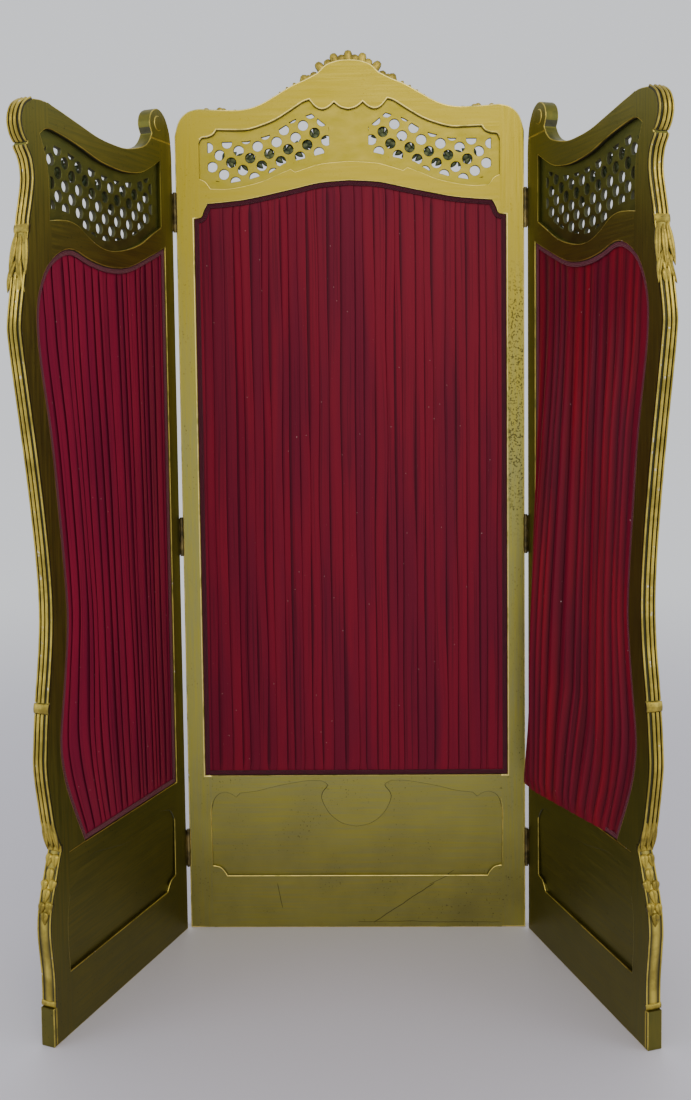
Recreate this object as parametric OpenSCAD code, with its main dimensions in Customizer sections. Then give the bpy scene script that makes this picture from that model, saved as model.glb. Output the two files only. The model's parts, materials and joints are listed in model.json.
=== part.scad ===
// Three-leaf folding room screen: a centre panel and two wings on butt hinges.
// Frame: +Z up, the viewer stands on the -Y side, Z = 0 is the floor and the origin is under the
// middle of the centre panel. Outlines are drawn in the panel's own plane as [across, up].

/* [Overall] */
// Height of the centre panel's shoulders
shoulder_z = 1700; // [1698:1:1702]
// Width of the centre panel
centre_w = 705; // [700:1:720]
// Thickness of every frame member
frame_t = 28; // [26:1:30]
// Angle that the left wing is swung forward from straight
left_fold = 69; // [0:1:178]
// Angle that the right wing is swung forward from straight
right_fold = 72; // [0:1:168]

/* [Frame] */
// Width of the centre panel's stiles
stile_w = 50; // [49:1:52]
// Width of the wings' hinge stiles
wing_stile_w = 46; // [45:1:47]
// Width of the ledge that the cloth is tacked to
ledge_w = 13; // [11:1:14]
// Thickness of the ledge
ledge_t = 10; // [8:1:12]
// Depth from the inner face to the pierced boards
pierced_depth = 8; // [6:1:9]
// Thickness of the pierced and field boards
board_t = 8; // [6:1:9]
// Length of every tenon
tenon_l = 22; // [18:1:24]
// Radius of the oak pegs
peg_r = 2.8; // [2.4:0.1:2.9]

/* [Piercing] */
// Radius of the pierced holes
hole_r = 10.3; // [8:0.1:11]
// Pitch of the square lattice of holes
hole_pitch = 28; // [26:0.5:32]
// Tilt of the lattice in the centre panel
centre_tilt = 33; // [25:1:40]

/* [Cloth] */
// Depth from the inner face to the gathered cloth
cloth_depth = 4; // [3.5:0.5:6]
// Width of the braid that covers the tacks
gimp_w = 9; // [7:1:11]
// Thickness of the braid
gimp_t = 1.6; // [1:0.2:2.4]

/* [Hinges] */
// Length of a hinge
hinge_l = 76; // [60:1:80]
// Radius of the hinge knuckles
knuckle_r = 3.5; // [3.2:0.1:3.5]
// Gap between two panels when they are in line
panel_gap = 3; // [3:0.5:4]
// Thickness of a hinge leaf
leaf_t = 2.4; // [2:0.1:2.6]
// Radius of a hinge pin
pin_r = 2; // [1.6:0.1:2.2]
// Running clearance round a hinge pin
pin_clearance = 0.05; // [0.03:0.01:0.09]

/* [Hidden] */
$fn = 40;
half_t = frame_t / 2;
half_w = centre_w / 2;
inner_x = half_w - stile_w;
half_ledge = ledge_t / 2;
hinge_x = half_w + panel_gap / 2;
hinge_y = -half_t - knuckle_r;
hinge_heights = [174, 832, 1493];
pierced_y = -half_t + pierced_depth;
cloth_y = -half_t + cloth_depth;
slack = 0.3;
leaf_reach = 8;
moulding_h = 5;
spandrel_s = wing_stile_w - 1.5;
joint_s = 398;
field_front_top = -half_t + 1.5;
field_front_low = -half_t + 7;

wing_nodes = ["hinge_stile", "outer_stile", "top_rail", "middle_rail", "lock_rail", "bottom_rail",
    "scroll", "pierced_board", "field_board", "fabric", "lining", "gimp", "edge_moulding",
    "edge_leaves", "foot_block", "garland", "pegs", "hinge_wing_leaves", "hinge_centre_leaves",
    "hinge_pins", "hinge_screws"];

gold = [0.68, 0.58, 0.22];
olive = [0.42, 0.36, 0.12];
crimson = [0.47, 0.06, 0.13];
mauve = [0.42, 0.15, 0.25];
iron = [0.23, 0.21, 0.17];

// ---- curves -------------------------------------------------------------------------------
function backwards(p) = [for (i = [len(p) - 1 : -1 : 0]) p[i]];
function mirrored(p) = [for (q = backwards(p)) [-q[0], q[1]]];
function nth(p, i) = p[max(0, min(len(p) - 1, i))];
// One span of a smooth curve that passes through the points of p
function span(p, i, t) =
    let (a = nth(p, i - 1), b = nth(p, i), c = nth(p, i + 1), d = nth(p, i + 2))
    0.5 * (2 * b + (c - a) * t + (2 * a - 5 * b + 4 * c - d) * t * t
        + (3 * b - a - 3 * c + d) * t * t * t);
function curve(p, n = 3) =
    concat([for (i = [0 : len(p) - 2], k = [0 : n - 1]) span(p, i, k / n)], [nth(p, len(p))]);
// Leaves out points that repeat their neighbour
function tidy(p) = [for (i = [0 : len(p) - 1]) if (norm(p[i] - p[(i + 1) % len(p)]) > 0.01) p[i]];
function both_halves(half) = tidy(concat(half, mirrored(half)));
function unit(v) = v / norm(v);
// Moves an anticlockwise outline inwards by d
function inset(p, d) = let (n = len(p)) [for (i = [0 : n - 1])
    let (u = unit(p[i] - p[(i + n - 1) % n]), v = unit(p[(i + 1) % n] - p[i]),
        m = [-u[1] - v[1], u[0] + v[0]]) p[i] + m * 2 * d / max(m * m, 1)];
function shifted(p, d) = [for (q = p) q + d];

// ---- centre panel outlines ------------------------------------------------------------------
crest_half = concat(
    curve([[inner_x, shoulder_z], [250, shoulder_z - 3], [212, shoulder_z - 2.5],
        [178, shoulder_z + 7], [142, shoulder_z + 27], [114, shoulder_z + 43],
        [88, shoulder_z + 54], [62, shoulder_z + 67]]),
    curve([[62, shoulder_z + 67], [45, shoulder_z + 83], [22, shoulder_z + 91],
        [0, shoulder_z + 93]]));
shoulder_corner = curve([[half_w, 1646], [half_w - 9, 1676], [half_w - 27, shoulder_z - 6],
    [inner_x, shoulder_z]], 4);
centre_cloth = both_halves(concat([[316, 327], [316, 1480]],
    curve([[316, 1480], [301, 1483], [296, 1495], [288, 1510]]),
    curve([[288, 1510], [240, 1514], [195, 1520], [105, 1539], [58, 1549], [0, 1553]])));
centre_clear = both_halves(concat(
    [[316 - ledge_w, 327 + ledge_w], [316 - ledge_w, 1480 - ledge_w], [298 - ledge_w, 1482 - ledge_w]],
    curve([[292 - ledge_w, 1510 - ledge_w], [240, 1514 - ledge_w], [195, 1520 - ledge_w],
        [105, 1539 - ledge_w], [58, 1549 - ledge_w], [0, 1553 - ledge_w]])));
centre_lattice = both_halves(concat(
    curve([[0, 1591], [53, 1587], [84, 1579], [109, 1571]]),
    curve([[118, 1577], [146, 1566], [177, 1553], [219, 1543], [250, 1539], [281, 1540]]),
    curve([[281, 1540], [288, 1550], [294, 1556], [inner_x + 1.5, 1560]]),
    curve([[inner_x + 1.5, 1630], [298, 1641], [286, 1643], [274, 1648], [267, 1657]]),
    curve([[267, 1657], [240, 1656], [207, 1656], [179, 1663], [148, 1675], [116, 1694],
        [93, 1709], [79, 1714]]),
    curve([[79, 1714], [68, 1701], [55, 1694.5], [41, 1698], [29, 1708]]),
    curve([[29, 1708], [16, 1698], [0, 1694]])));
centre_lattice_seat = both_halves([[0, 1579], [60, 1575], [115, 1564], [180, 1544], [240, 1531],
    [311, 1531], [311, 1664], [215, 1667], [175, 1676], [140, 1692], [100, 1722], [0, 1726]]);
centre_hole_field = [[287, 1575], [287, 1634], [205, 1635], [157, 1648], [112, 1676], [75, 1688],
    [40, 1660], [40, 1612], [88, 1600], [132, 1590], [160, 1572], [200, 1560], [240, 1553],
    [270, 1556]];
centre_field = both_halves(concat([[0, 112]],
    curve([[273, 112], [279, 122], [289, 131], [inner_x + 1.5, 134]]),
    curve([[inner_x + 1.5, 245], [300, 270], [291, 285], [276, 291], [262, 287], [252, 280]]),
    curve([[243, 289], [209, 293], [182, 300], [155, 306], [128, 311], [100, 315], [74, 315]]),
    curve([[74, 315], [60, 306], [70, 292], [73, 278], [64, 256], [50, 238], [28, 223],
        [0, 217]])));

// ---- wing outlines, across from the hinge edge ----------------------------------------------
edge_head = [[437, 1618], [459, 1604], [469, 1580], [464, 1558], [454, 1544]];
edge_upper = [[458, 1539], [444, 1520], [439, 1487], [448, 1443], [457, 1405], [471, 1316],
    [483, 1250], [481, 1210], [465, 1111], [447, 1000], [430, 870], [423, 770], [428, 691],
    [442, 600]];
edge_lower = [[442, 600], [449, 530], [451, 487], [442, 425], [433, 380], [417, 340]];
edge_foot = [[417, 340], [432, 298], [448, 250], [454, 210], [451, 170], [446, 120], [446, 68]];
wing_top = [[437, 1618], [408, 1621], [374, 1616], [336, 1608.5], [294, 1599.5], [251, 1591.5],
    [206, 1588.5], [161, 1590], [107, 1604], [84, 1619], [72, 1637]];
scroll_head = [[72, 1637], [80, 1655], [73, 1677], [50, 1689], [26, 1680], [10, 1657], [3, 1632],
    [0, 1600]];
wing_outline = tidy(concat([[0, 0], [446, 0]], backwards(curve(edge_foot)),
    backwards(curve(edge_lower)), backwards(curve(edge_upper)), backwards(curve(edge_head)),
    curve(wing_top), curve(scroll_head)));
wing_cloth = tidy(concat([[wing_stile_w - ledge_w, 326]],
    curve([[349, 326], [389, 415], [408, 475], [413, 532], [400, 615], [386, 720], [387, 790],
        [399, 920], [416, 1060], [438, 1180], [444, 1250], [436, 1300], [411, 1346], [374, 1373],
        [336, 1381], [286, 1368], [228, 1361], [164, 1367], [84, 1397],
        [wing_stile_w - ledge_w, 1419]])));
wing_lattice = tidy(concat(
    curve([[spandrel_s, 1458], [84, 1437], [124, 1415], [174, 1399], [221, 1392], [256, 1396],
        [288, 1408], [318, 1424], [346, 1430], [376, 1428], [401, 1424]]),
    curve([[401, 1424], [400, 1455], [400, 1485], [404, 1520], [414, 1548], [421, 1564]]),
    curve([[421, 1564], [404, 1575], [384, 1576], [336, 1569], [296, 1560.5], [252, 1550],
        [206, 1545], [161, 1545], [114, 1553], [76, 1570], [spandrel_s, 1588]])));
wing_lattice_seat = [[38, 1448], [84, 1425], [124, 1404], [174, 1388], [221, 1381], [262, 1385],
    [300, 1399], [330, 1414], [350, 1419], [409, 1414], [409, 1500], [432, 1566], [404, 1586],
    [336, 1580], [252, 1561], [206, 1556], [161, 1556], [114, 1564], [80, 1580], [50, 1600],
    [38, 1600]];
wing_hole_field = [[66, 1475], [90, 1455], [128, 1433], [178, 1417], [225, 1410], [260, 1414],
    [292, 1426], [322, 1441], [350, 1447], [385, 1446], [386, 1500], [404, 1540], [388, 1556],
    [340, 1550], [256, 1531], [210, 1526], [165, 1526], [118, 1534], [80, 1549], [66, 1549]];
wing_field = tidy(concat(
    curve([[spandrel_s, 134], [62, 130], [73, 118], [77, 112]]),
    curve([[402, 112], [406, 180], [403, 225], [392, 258], [370, 282], [346, 292], [318, 293],
        [278, 284]]),
    curve([[278, 284], [211, 270], [150, 279], [108, 287], [81, 284], [58, 273],
        [spandrel_s, 250]])));

// ---- shared shapes --------------------------------------------------------------------------
// A flat piece with the given outline, from y = front to y = back
module slab(outline, front, back)
    translate([0, back, 0]) rotate([90, 0, 0]) linear_extrude(back - front) polygon(outline);

module box(x, y, z)
    translate([x[0], y[0], z[0]]) cube([x[1] - x[0], y[1] - y[0], z[1] - z[0]]);

// Stepped opening: a rebate for the cloth in each face, and the clear opening between ledges
module cloth_opening(outline, clear) {
    slab(outline, -half_t - 1, -half_ledge);
    slab(outline, half_ledge, half_t + 1);
    slab(clear, -half_t - 1, half_t + 1);
}

module pierced_opening(outline, seat) {
    slab(outline, -half_t - 1, 0);
    slab(seat, pierced_y, half_t + 1);
}

// The seat of a field board, whose face lies deeper at the foot than at the top
module field_seat(x, z, back_top, back_low)
    translate([x[0], 0, 0]) rotate([90, 0, 90]) linear_extrude(x[1] - x[0])
        polygon([[field_front_top, z[1]], [field_front_low, z[0]], [back_low, z[0]],
            [back_top, z[1]]]);

module field_opening(outline, x, z) {
    slab(outline, -half_t - 1, 0);
    field_seat(x, z, half_t + 1, half_t + 1);
}

// The board lies a hair behind the seat's face
module field_board(x, z) translate([0, 0.1, 0])
    field_seat([x[0] + slack, x[1] - slack], z, field_front_top + board_t,
        field_front_low + board_t);

// Round holes on a tilted square lattice, cut off flat at the edge of the field
module piercing(field, start, tilt, count) intersection() {
    slab(field, pierced_y - 1, pierced_y + board_t + 1);
    for (i = [-count : count], j = [-count : count])
        let (x = start[0] + hole_pitch * (i * cos(tilt) - j * sin(tilt)),
            z = start[1] + hole_pitch * (i * sin(tilt) + j * cos(tilt)))
        if (x > 30 && x < 410 && z > 1395 && z < 1700)
            translate([x, pierced_y - 2, z]) rotate([-90, 0, 0]) cylinder(h = board_t + 4, r = hole_r);
}

module tenon(x, z) box(x, [-half_ledge, half_ledge], z);

module peg_hole(x, z)
    translate([x, -half_t + 6, z]) rotate([-90, 0, 0]) cylinder(h = frame_t, r = peg_r + 0.05);

module peg(x, z)
    translate([x, -half_t + 6.1, z]) rotate([-90, 0, 0]) cylinder(h = frame_t - 6.1, r = peg_r);

module cloth(outline, front) slab(inset(outline, slack), front, -half_ledge - 0.1);
module lining(outline) slab(inset(outline, slack), half_ledge + 0.1, half_ledge + 1.6);
module gimp(outline) difference() {
    slab(inset(outline, slack), cloth_y - gimp_t, cloth_y);
    slab(inset(outline, gimp_w), cloth_y - gimp_t - 1, cloth_y + 1);
}

// A string of buds and leaves along a curve
module garland(path, r) {
    stops = curve(path, 3);
    for (i = [0 : len(stops) - 1])
        translate([stops[i][0], pierced_y + board_t - 0.2 * r, stops[i][1]])
            sphere(r * (0.8 + 0.2 * (i % 2)), $fn = 20);
}
module behind_board(path, r) intersection() {
    garland(path, r);
    box([-320, 420], [pierced_y + board_t, half_t], [1380, 1720]);
}

// ---- hinges: the pin's axis is X = 0, Y = 0 ------------------------------------------------
knuckle_l = hinge_l / 5;
screw_places = [[-hinge_l / 3, -leaf_reach], [0, 2], [hinge_l / 3, -leaf_reach]];

module knuckles(first, r, gap)
    for (k = [first : 2 : 4])
        translate([0, 0, -hinge_l / 2 + k * knuckle_l + gap])
            cylinder(h = knuckle_l - 2 * gap, r = r);

// The leaf lies on the -X side of the pin
module leaf(first) difference() {
    union() {
        box([-leaf_t - 0.1, -0.1], [0, -hinge_y + leaf_reach], [-hinge_l / 2, hinge_l / 2]);
        knuckles(first, knuckle_r, 0.1);
    }
    cylinder(h = hinge_l + 2, r = pin_r + pin_clearance, center = true);
    knuckles(1 - first, knuckle_r + 0.3, -0.05);
    for (p = screw_places) translate([0, -hinge_y + p[1], p[0]]) screw(0.1);
}

// A countersunk wood screw that points to -X, with its head in the leaf's open face
module screw(grow) translate([-0.1, 0, 0]) rotate([0, -90, 0]) {
    cylinder(h = 1.7, r1 = 3 + grow, r2 = 1.5 + grow);
    cylinder(h = 15, r = 1.5 + grow);
}

module gain(edge_x) for (z = hinge_heights)
    box([edge_x - 1, edge_x + 1], [-half_t - 1, leaf_reach], [z - hinge_l / 2, z + hinge_l / 2]);

module at_hinges() for (z = hinge_heights) translate([hinge_x, hinge_y, z]) children();
module hinge_leaves(first) at_hinges() leaf(first);
module hinge_pins() at_hinges() {
    cylinder(h = hinge_l + 2, r = pin_r, center = true);
    for (end = [-1, 1]) translate([0, 0, end * (hinge_l / 2 + 1.1)])
        cylinder(h = 2, r = knuckle_r - 0.2, center = true);
}
module hinge_screws(grow) at_hinges()
    for (p = screw_places) translate([0, -hinge_y + p[1], p[0]]) screw(grow);

// ---- centre panel -------------------------------------------------------------------------
// Lowest and highest point of each tenon, and the height of its peg
centre_tenons = [[20, 90, 55], [321, 327 + ledge_w - 2, 324], [1490, 1525, 1507], [1672, 1690, 1681]];

module centre_openings() {
    cloth_opening(centre_cloth, centre_clear);
    pierced_opening(centre_lattice, centre_lattice_seat);
    field_opening(centre_field, [-inner_x - 8, inner_x + 8], [104, 321]);
}

module centre_right_stile() color(gold) difference() {
    slab(tidy(concat([[inner_x, 0], [half_w, 0]], shoulder_corner)), -half_t, half_t);
    centre_openings();
    for (z = centre_tenons) {
        tenon([inner_x - 1, inner_x + tenon_l], z);
        peg_hole(inner_x + tenon_l / 2, z[2]);
    }
    gain(half_w);
    hinge_screws(0.05);
}
module centre_left_stile() mirror([1, 0, 0]) centre_right_stile();

module centre_rail(outline, z) color(gold) difference() {
    union() {
        slab(outline, -half_t, half_t);
        for (end = [-1, 1]) tenon(end > 0 ? [inner_x, inner_x + tenon_l] :
            [-inner_x - tenon_l, -inner_x], z);
    }
    centre_openings();
    for (end = [-1, 1]) peg_hole(end * (inner_x + tenon_l / 2), z[2]);
}
function band(z) = [[-inner_x, z[0]], [inner_x, z[0]], [inner_x, z[1]], [-inner_x, z[1]]];
module centre_bottom_rail() centre_rail(band([0, 150]), centre_tenons[0]);
module centre_lock_rail() centre_rail(band([205, 327 + ledge_w]), centre_tenons[1]);
module centre_middle_rail() centre_rail(band([1460, 1600]), centre_tenons[2]);
module crest_rail() centre_rail(both_halves(concat([[inner_x, 1600]], crest_half)),
    centre_tenons[3]);

module centre_pierced_board() color(gold) difference() {
    slab(inset(centre_lattice_seat, slack), pierced_y, pierced_y + board_t);
    for (side = [0, 1]) mirror([side, 0, 0])
        piercing(centre_hole_field, [262.5, 1608.5], centre_tilt, 12);
}
module centre_field_board() color(gold) field_board([-inner_x - 8, inner_x + 8], [104.3, 320.7]);
module centre_fabric() color(crimson) cloth(centre_cloth, cloth_y);
module centre_lining() color(crimson) lining(centre_cloth);
module centre_gimp() color(mauve) gimp(centre_cloth);
module centre_pegs() color(gold) for (end = [-1, 1], z = centre_tenons)
    peg(end * (inner_x + tenon_l / 2), z[2]);
module centre_hinge_screws() color(iron) for (side = [0, 1]) mirror([side, 0, 0]) hinge_screws(0);

// Shell of radiating ribs on the outer face; its lobes stand above the crest
shell_hub = [0, 1712];
shell_ribs = [for (i = [-4 : 4]) [i * 21, 108 - 5.5 * abs(i)]];
module shell_rib(turn, reach) translate([shell_hub[0], half_t, shell_hub[1]])
    rotate([0, turn, 0]) {
        cylinder(h = reach - 9, r1 = 5, r2 = 9.5);
        translate([0, 0, reach - 9]) sphere(9.5);
    }
module crest_shell() color(gold) intersection() {
    union() {
        for (rib = shell_ribs) shell_rib(rib[0], rib[1]);
        translate([0, half_t, shell_hub[1]]) sphere(17);
        for (side = [-1, 1], k = [0 : 4])
            translate([side * (72 + 17 * k), half_t, 1742 - 10 * k]) sphere(13 - k);
    }
    box([-200, 200], [half_t, half_t + 16], [1660, 1840]);
}
// A pair of small leaves on each shoulder, with tips just above the frame
module shoulder_leaves() color(gold) intersection() {
    for (side = [-1, 1], k = [0 : 5])
        translate([side * (246 + 13 * k), half_t, 1692 + (k % 2) * 7 + 2 * k % 3])
            sphere(11 - 0.6 * k);
    box([-340, 340], [half_t, half_t + 10], [1670, 1712]);
}
module centre_garlands() color(gold) for (side = [0, 1]) mirror([side, 0, 0])
    behind_board([[250, 1612], [215, 1597], [175, 1590], [130, 1600], [90, 1620], [58, 1650]], 12);

// ---- wings, drawn in line with the centre panel and then swung forward ----------------------
module in_place(side) {
    fold = side == "left" ? left_fold : right_fold;
    mirror([side == "left" ? 1 : 0, 0, 0])
        translate([hinge_x, hinge_y, 0]) rotate([0, 0, -fold])
            translate([panel_gap / 2, -hinge_y, 0]) children();
}

wing_tenons = [[20, 90, 55], [305, 324, 314], [1423, 1447, 1435], [1603, 1622, 1612]];
outer_tenons = [[20, 90, 55], [305, 324, 314], [1370, 1406, 1388], [1592, 1612, 1602]];

module wing_openings() {
    cloth_opening(wing_cloth, inset(wing_cloth, ledge_w));
    pierced_opening(wing_lattice, wing_lattice_seat);
    field_opening(wing_field, [wing_stile_w - 8, 414], [104, 303]);
}

module wing_member(region, front = -half_t, back = half_t) intersection() {
    slab(wing_outline, front, back);
    slab(region, front, back);
}

// The gains and screw holes of the hinges, seen from the wing's own edge
module wing_hinge_cuts(grow) translate([-panel_gap / 2, hinge_y, 0]) mirror([1, 0, 0])
    for (z = hinge_heights) translate([0, 0, z]) {
        box([-panel_gap / 2 - 1, 0], [0, -hinge_y + leaf_reach], [-hinge_l / 2, hinge_l / 2]);
        for (p = screw_places) translate([0, -hinge_y + p[1], p[0]]) screw(grow);
    }

module wing_hinge_stile() difference() {
    wing_member([[0, 0], [wing_stile_w, 0], [wing_stile_w, 1628], [0, 1628]]);
    wing_openings();
    for (z = wing_tenons) {
        tenon([wing_stile_w - tenon_l, wing_stile_w + 1], z);
        peg_hole(wing_stile_w - tenon_l / 2, z[2]);
    }
    wing_hinge_cuts(0.05);
}

module wing_outer_stile() difference() {
    wing_member([[joint_s, -1], [520, -1], [520, 1700], [joint_s, 1700], [joint_s, 1335],
        [340, 1335], [340, 326], [joint_s, 326]]);
    wing_openings();
    for (z = outer_tenons) {
        tenon([joint_s - 1, joint_s + tenon_l - 4], z);
        peg_hole(joint_s + tenon_l / 2 - 2, z[2]);
    }
}

module wing_rail(region, k) difference() {
    union() {
        wing_member(region);
        tenon([wing_stile_w - tenon_l, wing_stile_w], wing_tenons[k]);
        tenon([joint_s, joint_s + tenon_l - 4], outer_tenons[k]);
    }
    wing_openings();
    peg_hole(wing_stile_w - tenon_l / 2, wing_tenons[k][2]);
    peg_hole(joint_s + tenon_l / 2 - 2, outer_tenons[k][2]);
}
function wing_band(z) = [[wing_stile_w, z[0]], [joint_s, z[0]], [joint_s, z[1]],
    [wing_stile_w, z[1]]];
module wing_bottom_rail() wing_rail(wing_band([0, 150]), 0);
module wing_lock_rail() wing_rail([[wing_stile_w, 200], [joint_s, 200], [joint_s, 326],
    [340, 326], [340, 345], [wing_stile_w, 345]], 1);
module wing_middle_rail() wing_rail(wing_band([1335, 1480]), 2);
module wing_top_rail() wing_rail([[wing_stile_w, 1500], [joint_s, 1500], [joint_s, 1690],
    [100, 1690], [100, 1628], [wing_stile_w, 1628]], 3);

// Carved volute that crowns the hinge stile
module wing_scroll() {
    wing_member([[-1, 1628], [100, 1628], [100, 1700], [-1, 1700]]);
    for (y = [-half_t, half_t]) translate([50, y, 1660]) rotate([90, 0, 0])
        cylinder(h = 3, r = 13, center = true);
}

module wing_pierced_board() difference() {
    slab(inset(wing_lattice_seat, slack), pierced_y, pierced_y + board_t);
    piercing(wing_hole_field, [226, 1450], 45, 12);
}
module wing_pegs() for (z = wing_tenons) peg(wing_stile_w - tenon_l / 2, z[2]);
module wing_outer_pegs() for (z = outer_tenons) peg(joint_s + tenon_l / 2 - 2, z[2]);

// Strip of three reeds along the serpentine edge
module reeded(path) {
    line = curve(path);
    slab(tidy(concat(backwards(line), shifted(line, [2, 0]))), -half_t, half_t);
    for (k = [0 : 2]) let (y = -half_t + frame_t / 3 * (k + 0.15))
        slab(tidy(concat(backwards(shifted(line, [1, 0])), shifted(line, [moulding_h, 0]))),
            y, y + frame_t * 0.7 / 3);
}
module wing_edge_moulding() {
    for (path = [edge_head, edge_upper, edge_lower]) reeded(path);
    line = curve(edge_foot);
    slab(tidy(concat(backwards(line), shifted(line, [3, 0]))), -half_t, half_t);
}

// Leaves carved over the moulding: one below the shoulder, a knop and one at the waist
module leaf_run(path, r) {
    stops = curve(path, 2);
    for (i = [0 : len(stops) - 1]) translate([stops[i][0] + moulding_h, 0, stops[i][1]])
        rotate([90, 0, 0]) cylinder(h = 20 - 4 * (i % 2), r = r - 1.5 * (i % 2), center = true);
}
module wing_edge_leaves() difference() {
    intersection() {
        union() {
            leaf_run([[457, 1405], [464, 1366], [470, 1325], [477, 1290]], 7);
            leaf_run([[419, 336], [432, 298], [448, 250], [453, 215]], 8);
            box([430, 452 + moulding_h], [-half_t, half_t], [583, 603]);
        }
        box([400, 520], [-half_t, half_t], [150, 1450]);
    }
    slab(wing_outline, -half_t - 1, half_t + 1);
    wing_edge_moulding();
}
module wing_foot_block() box([446, 453], [-half_t, half_t], [0, 68]);
module wing_garland() behind_board([[392, 1478], [352, 1518], [300, 1520], [250, 1500],
    [190, 1490], [130, 1505], [72, 1535]], 11);

module wing_part(name) {
    if (name == "hinge_stile") color(olive) wing_hinge_stile();
    if (name == "outer_stile") color(olive) wing_outer_stile();
    if (name == "top_rail") color(olive) wing_top_rail();
    if (name == "middle_rail") color(olive) wing_middle_rail();
    if (name == "lock_rail") color(olive) wing_lock_rail();
    if (name == "bottom_rail") color(olive) wing_bottom_rail();
    if (name == "scroll") color(olive) wing_scroll();
    if (name == "pierced_board") color(olive) wing_pierced_board();
    if (name == "field_board") color(olive) field_board([wing_stile_w - 8, 414], [104.3, 302.7]);
    if (name == "fabric") color(crimson) cloth(wing_cloth, cloth_y);
    if (name == "lining") color(crimson) lining(wing_cloth);
    if (name == "gimp") color(mauve) gimp(wing_cloth);
    if (name == "edge_moulding") color(gold) wing_edge_moulding();
    if (name == "edge_leaves") color(gold) wing_edge_leaves();
    if (name == "foot_block") color(gold) wing_foot_block();
    if (name == "garland") color(olive) wing_garland();
    if (name == "pegs") color(olive) {
        wing_pegs();
        wing_outer_pegs();
    }
    if (name == "hinge_wing_leaves") color(iron)
        translate([-panel_gap / 2, hinge_y, 0]) mirror([1, 0, 0])
            for (z = hinge_heights) translate([0, 0, z]) leaf(1);
    if (name == "hinge_screws") color(iron)
        translate([-panel_gap / 2, hinge_y, 0]) mirror([1, 0, 0])
            for (z = hinge_heights, p = screw_places)
                translate([0, -hinge_y + p[1], z + p[0]]) screw(0);
}

// Hinge pieces that stay on the centre panel
module centre_side(side, name) mirror([side == "left" ? 1 : 0, 0, 0]) color(iron) {
    if (name == "hinge_centre_leaves") hinge_leaves(0);
    if (name == "hinge_pins") hinge_pins();
}

centre_left_stile();
centre_right_stile();
crest_rail();
centre_middle_rail();
centre_lock_rail();
centre_bottom_rail();
centre_pierced_board();
centre_field_board();
centre_fabric();
centre_lining();
centre_gimp();
crest_shell();
shoulder_leaves();
centre_garlands();
centre_pegs();
centre_hinge_screws();
for (side = ["left", "right"], name = wing_nodes)
    union() {
        in_place(side) wing_part(name);
        centre_side(side, name);
    }
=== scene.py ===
# %% [markdown]
# A folding room screen of three leaves: painted and gilded wood frames, pierced boards at the top,
# and crimson cloth gathered behind the large openings. The frame of the design (sizes, joints,
# hinges) comes packed from the CAD model. This lesson dresses it: it softens and gilds the wood,
# hangs the cloth, and carves the ornament.

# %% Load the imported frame
import json
import math

import bpy
import numpy as np
from mathutils import Matrix, Vector
from mathutils.bvhtree import BVHTree

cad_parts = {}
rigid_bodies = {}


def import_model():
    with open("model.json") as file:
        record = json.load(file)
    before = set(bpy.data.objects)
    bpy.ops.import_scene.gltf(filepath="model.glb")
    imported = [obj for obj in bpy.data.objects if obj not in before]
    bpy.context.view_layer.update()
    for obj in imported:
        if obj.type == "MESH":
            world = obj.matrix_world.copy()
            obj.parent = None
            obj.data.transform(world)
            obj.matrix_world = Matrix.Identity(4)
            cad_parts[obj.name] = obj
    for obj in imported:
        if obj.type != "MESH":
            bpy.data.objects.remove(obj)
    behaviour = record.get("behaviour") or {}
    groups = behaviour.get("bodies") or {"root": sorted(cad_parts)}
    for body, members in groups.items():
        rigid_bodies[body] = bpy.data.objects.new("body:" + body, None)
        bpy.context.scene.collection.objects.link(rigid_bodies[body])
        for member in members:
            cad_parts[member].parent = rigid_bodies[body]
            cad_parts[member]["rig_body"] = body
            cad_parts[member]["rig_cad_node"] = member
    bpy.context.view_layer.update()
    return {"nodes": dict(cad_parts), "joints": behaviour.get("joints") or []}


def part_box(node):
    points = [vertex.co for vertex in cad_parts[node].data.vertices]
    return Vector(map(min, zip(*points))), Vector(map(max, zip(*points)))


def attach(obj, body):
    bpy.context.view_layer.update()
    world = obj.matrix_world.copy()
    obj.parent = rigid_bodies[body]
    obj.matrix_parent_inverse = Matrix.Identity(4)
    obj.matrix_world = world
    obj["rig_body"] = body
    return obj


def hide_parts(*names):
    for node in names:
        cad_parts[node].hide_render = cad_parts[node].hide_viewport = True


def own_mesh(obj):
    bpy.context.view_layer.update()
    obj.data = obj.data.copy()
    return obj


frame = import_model()
NODES = frame["nodes"]

# %% [markdown]
# Millimetres are easier to think in than metres. Everything on a wing is easier to shape while the
# wing lies in line with the centre panel, so every leaf of the screen gets its own flat
# coordinates: across (from the hinge edge on a wing, from the middle on the centre panel), depth
# (from the middle of the wood, negative towards the viewer) and up. The hinge's lower limit is the
# straight pose, so it says how far each wing is swung at rest.

# %% Coordinates of the three leaves
MM = 0.001
LEAVES = ("centre_panel", "left_wing", "right_wing")
HINGES = {j["child"]: j for j in frame["joints"]}
PREFIX = {"centre_panel": "centre_", "left_wing": "left_", "right_wing": "right_"}
GAP = 1.5 * MM  # from a hinge pin to the edge of its wing


def turn_of(leaf):
    """Angle of a leaf's across direction about +Z, in radians."""
    if leaf == "centre_panel":
        return 0.0
    fold = math.radians(-HINGES[leaf]["range_deg"][0])
    return fold if leaf == "left_wing" else -fold


def side_of(leaf):
    """1 where across runs to +X, -1 on the left wing, where it runs to -X."""
    return -1.0 if leaf == "left_wing" else 1.0


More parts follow.
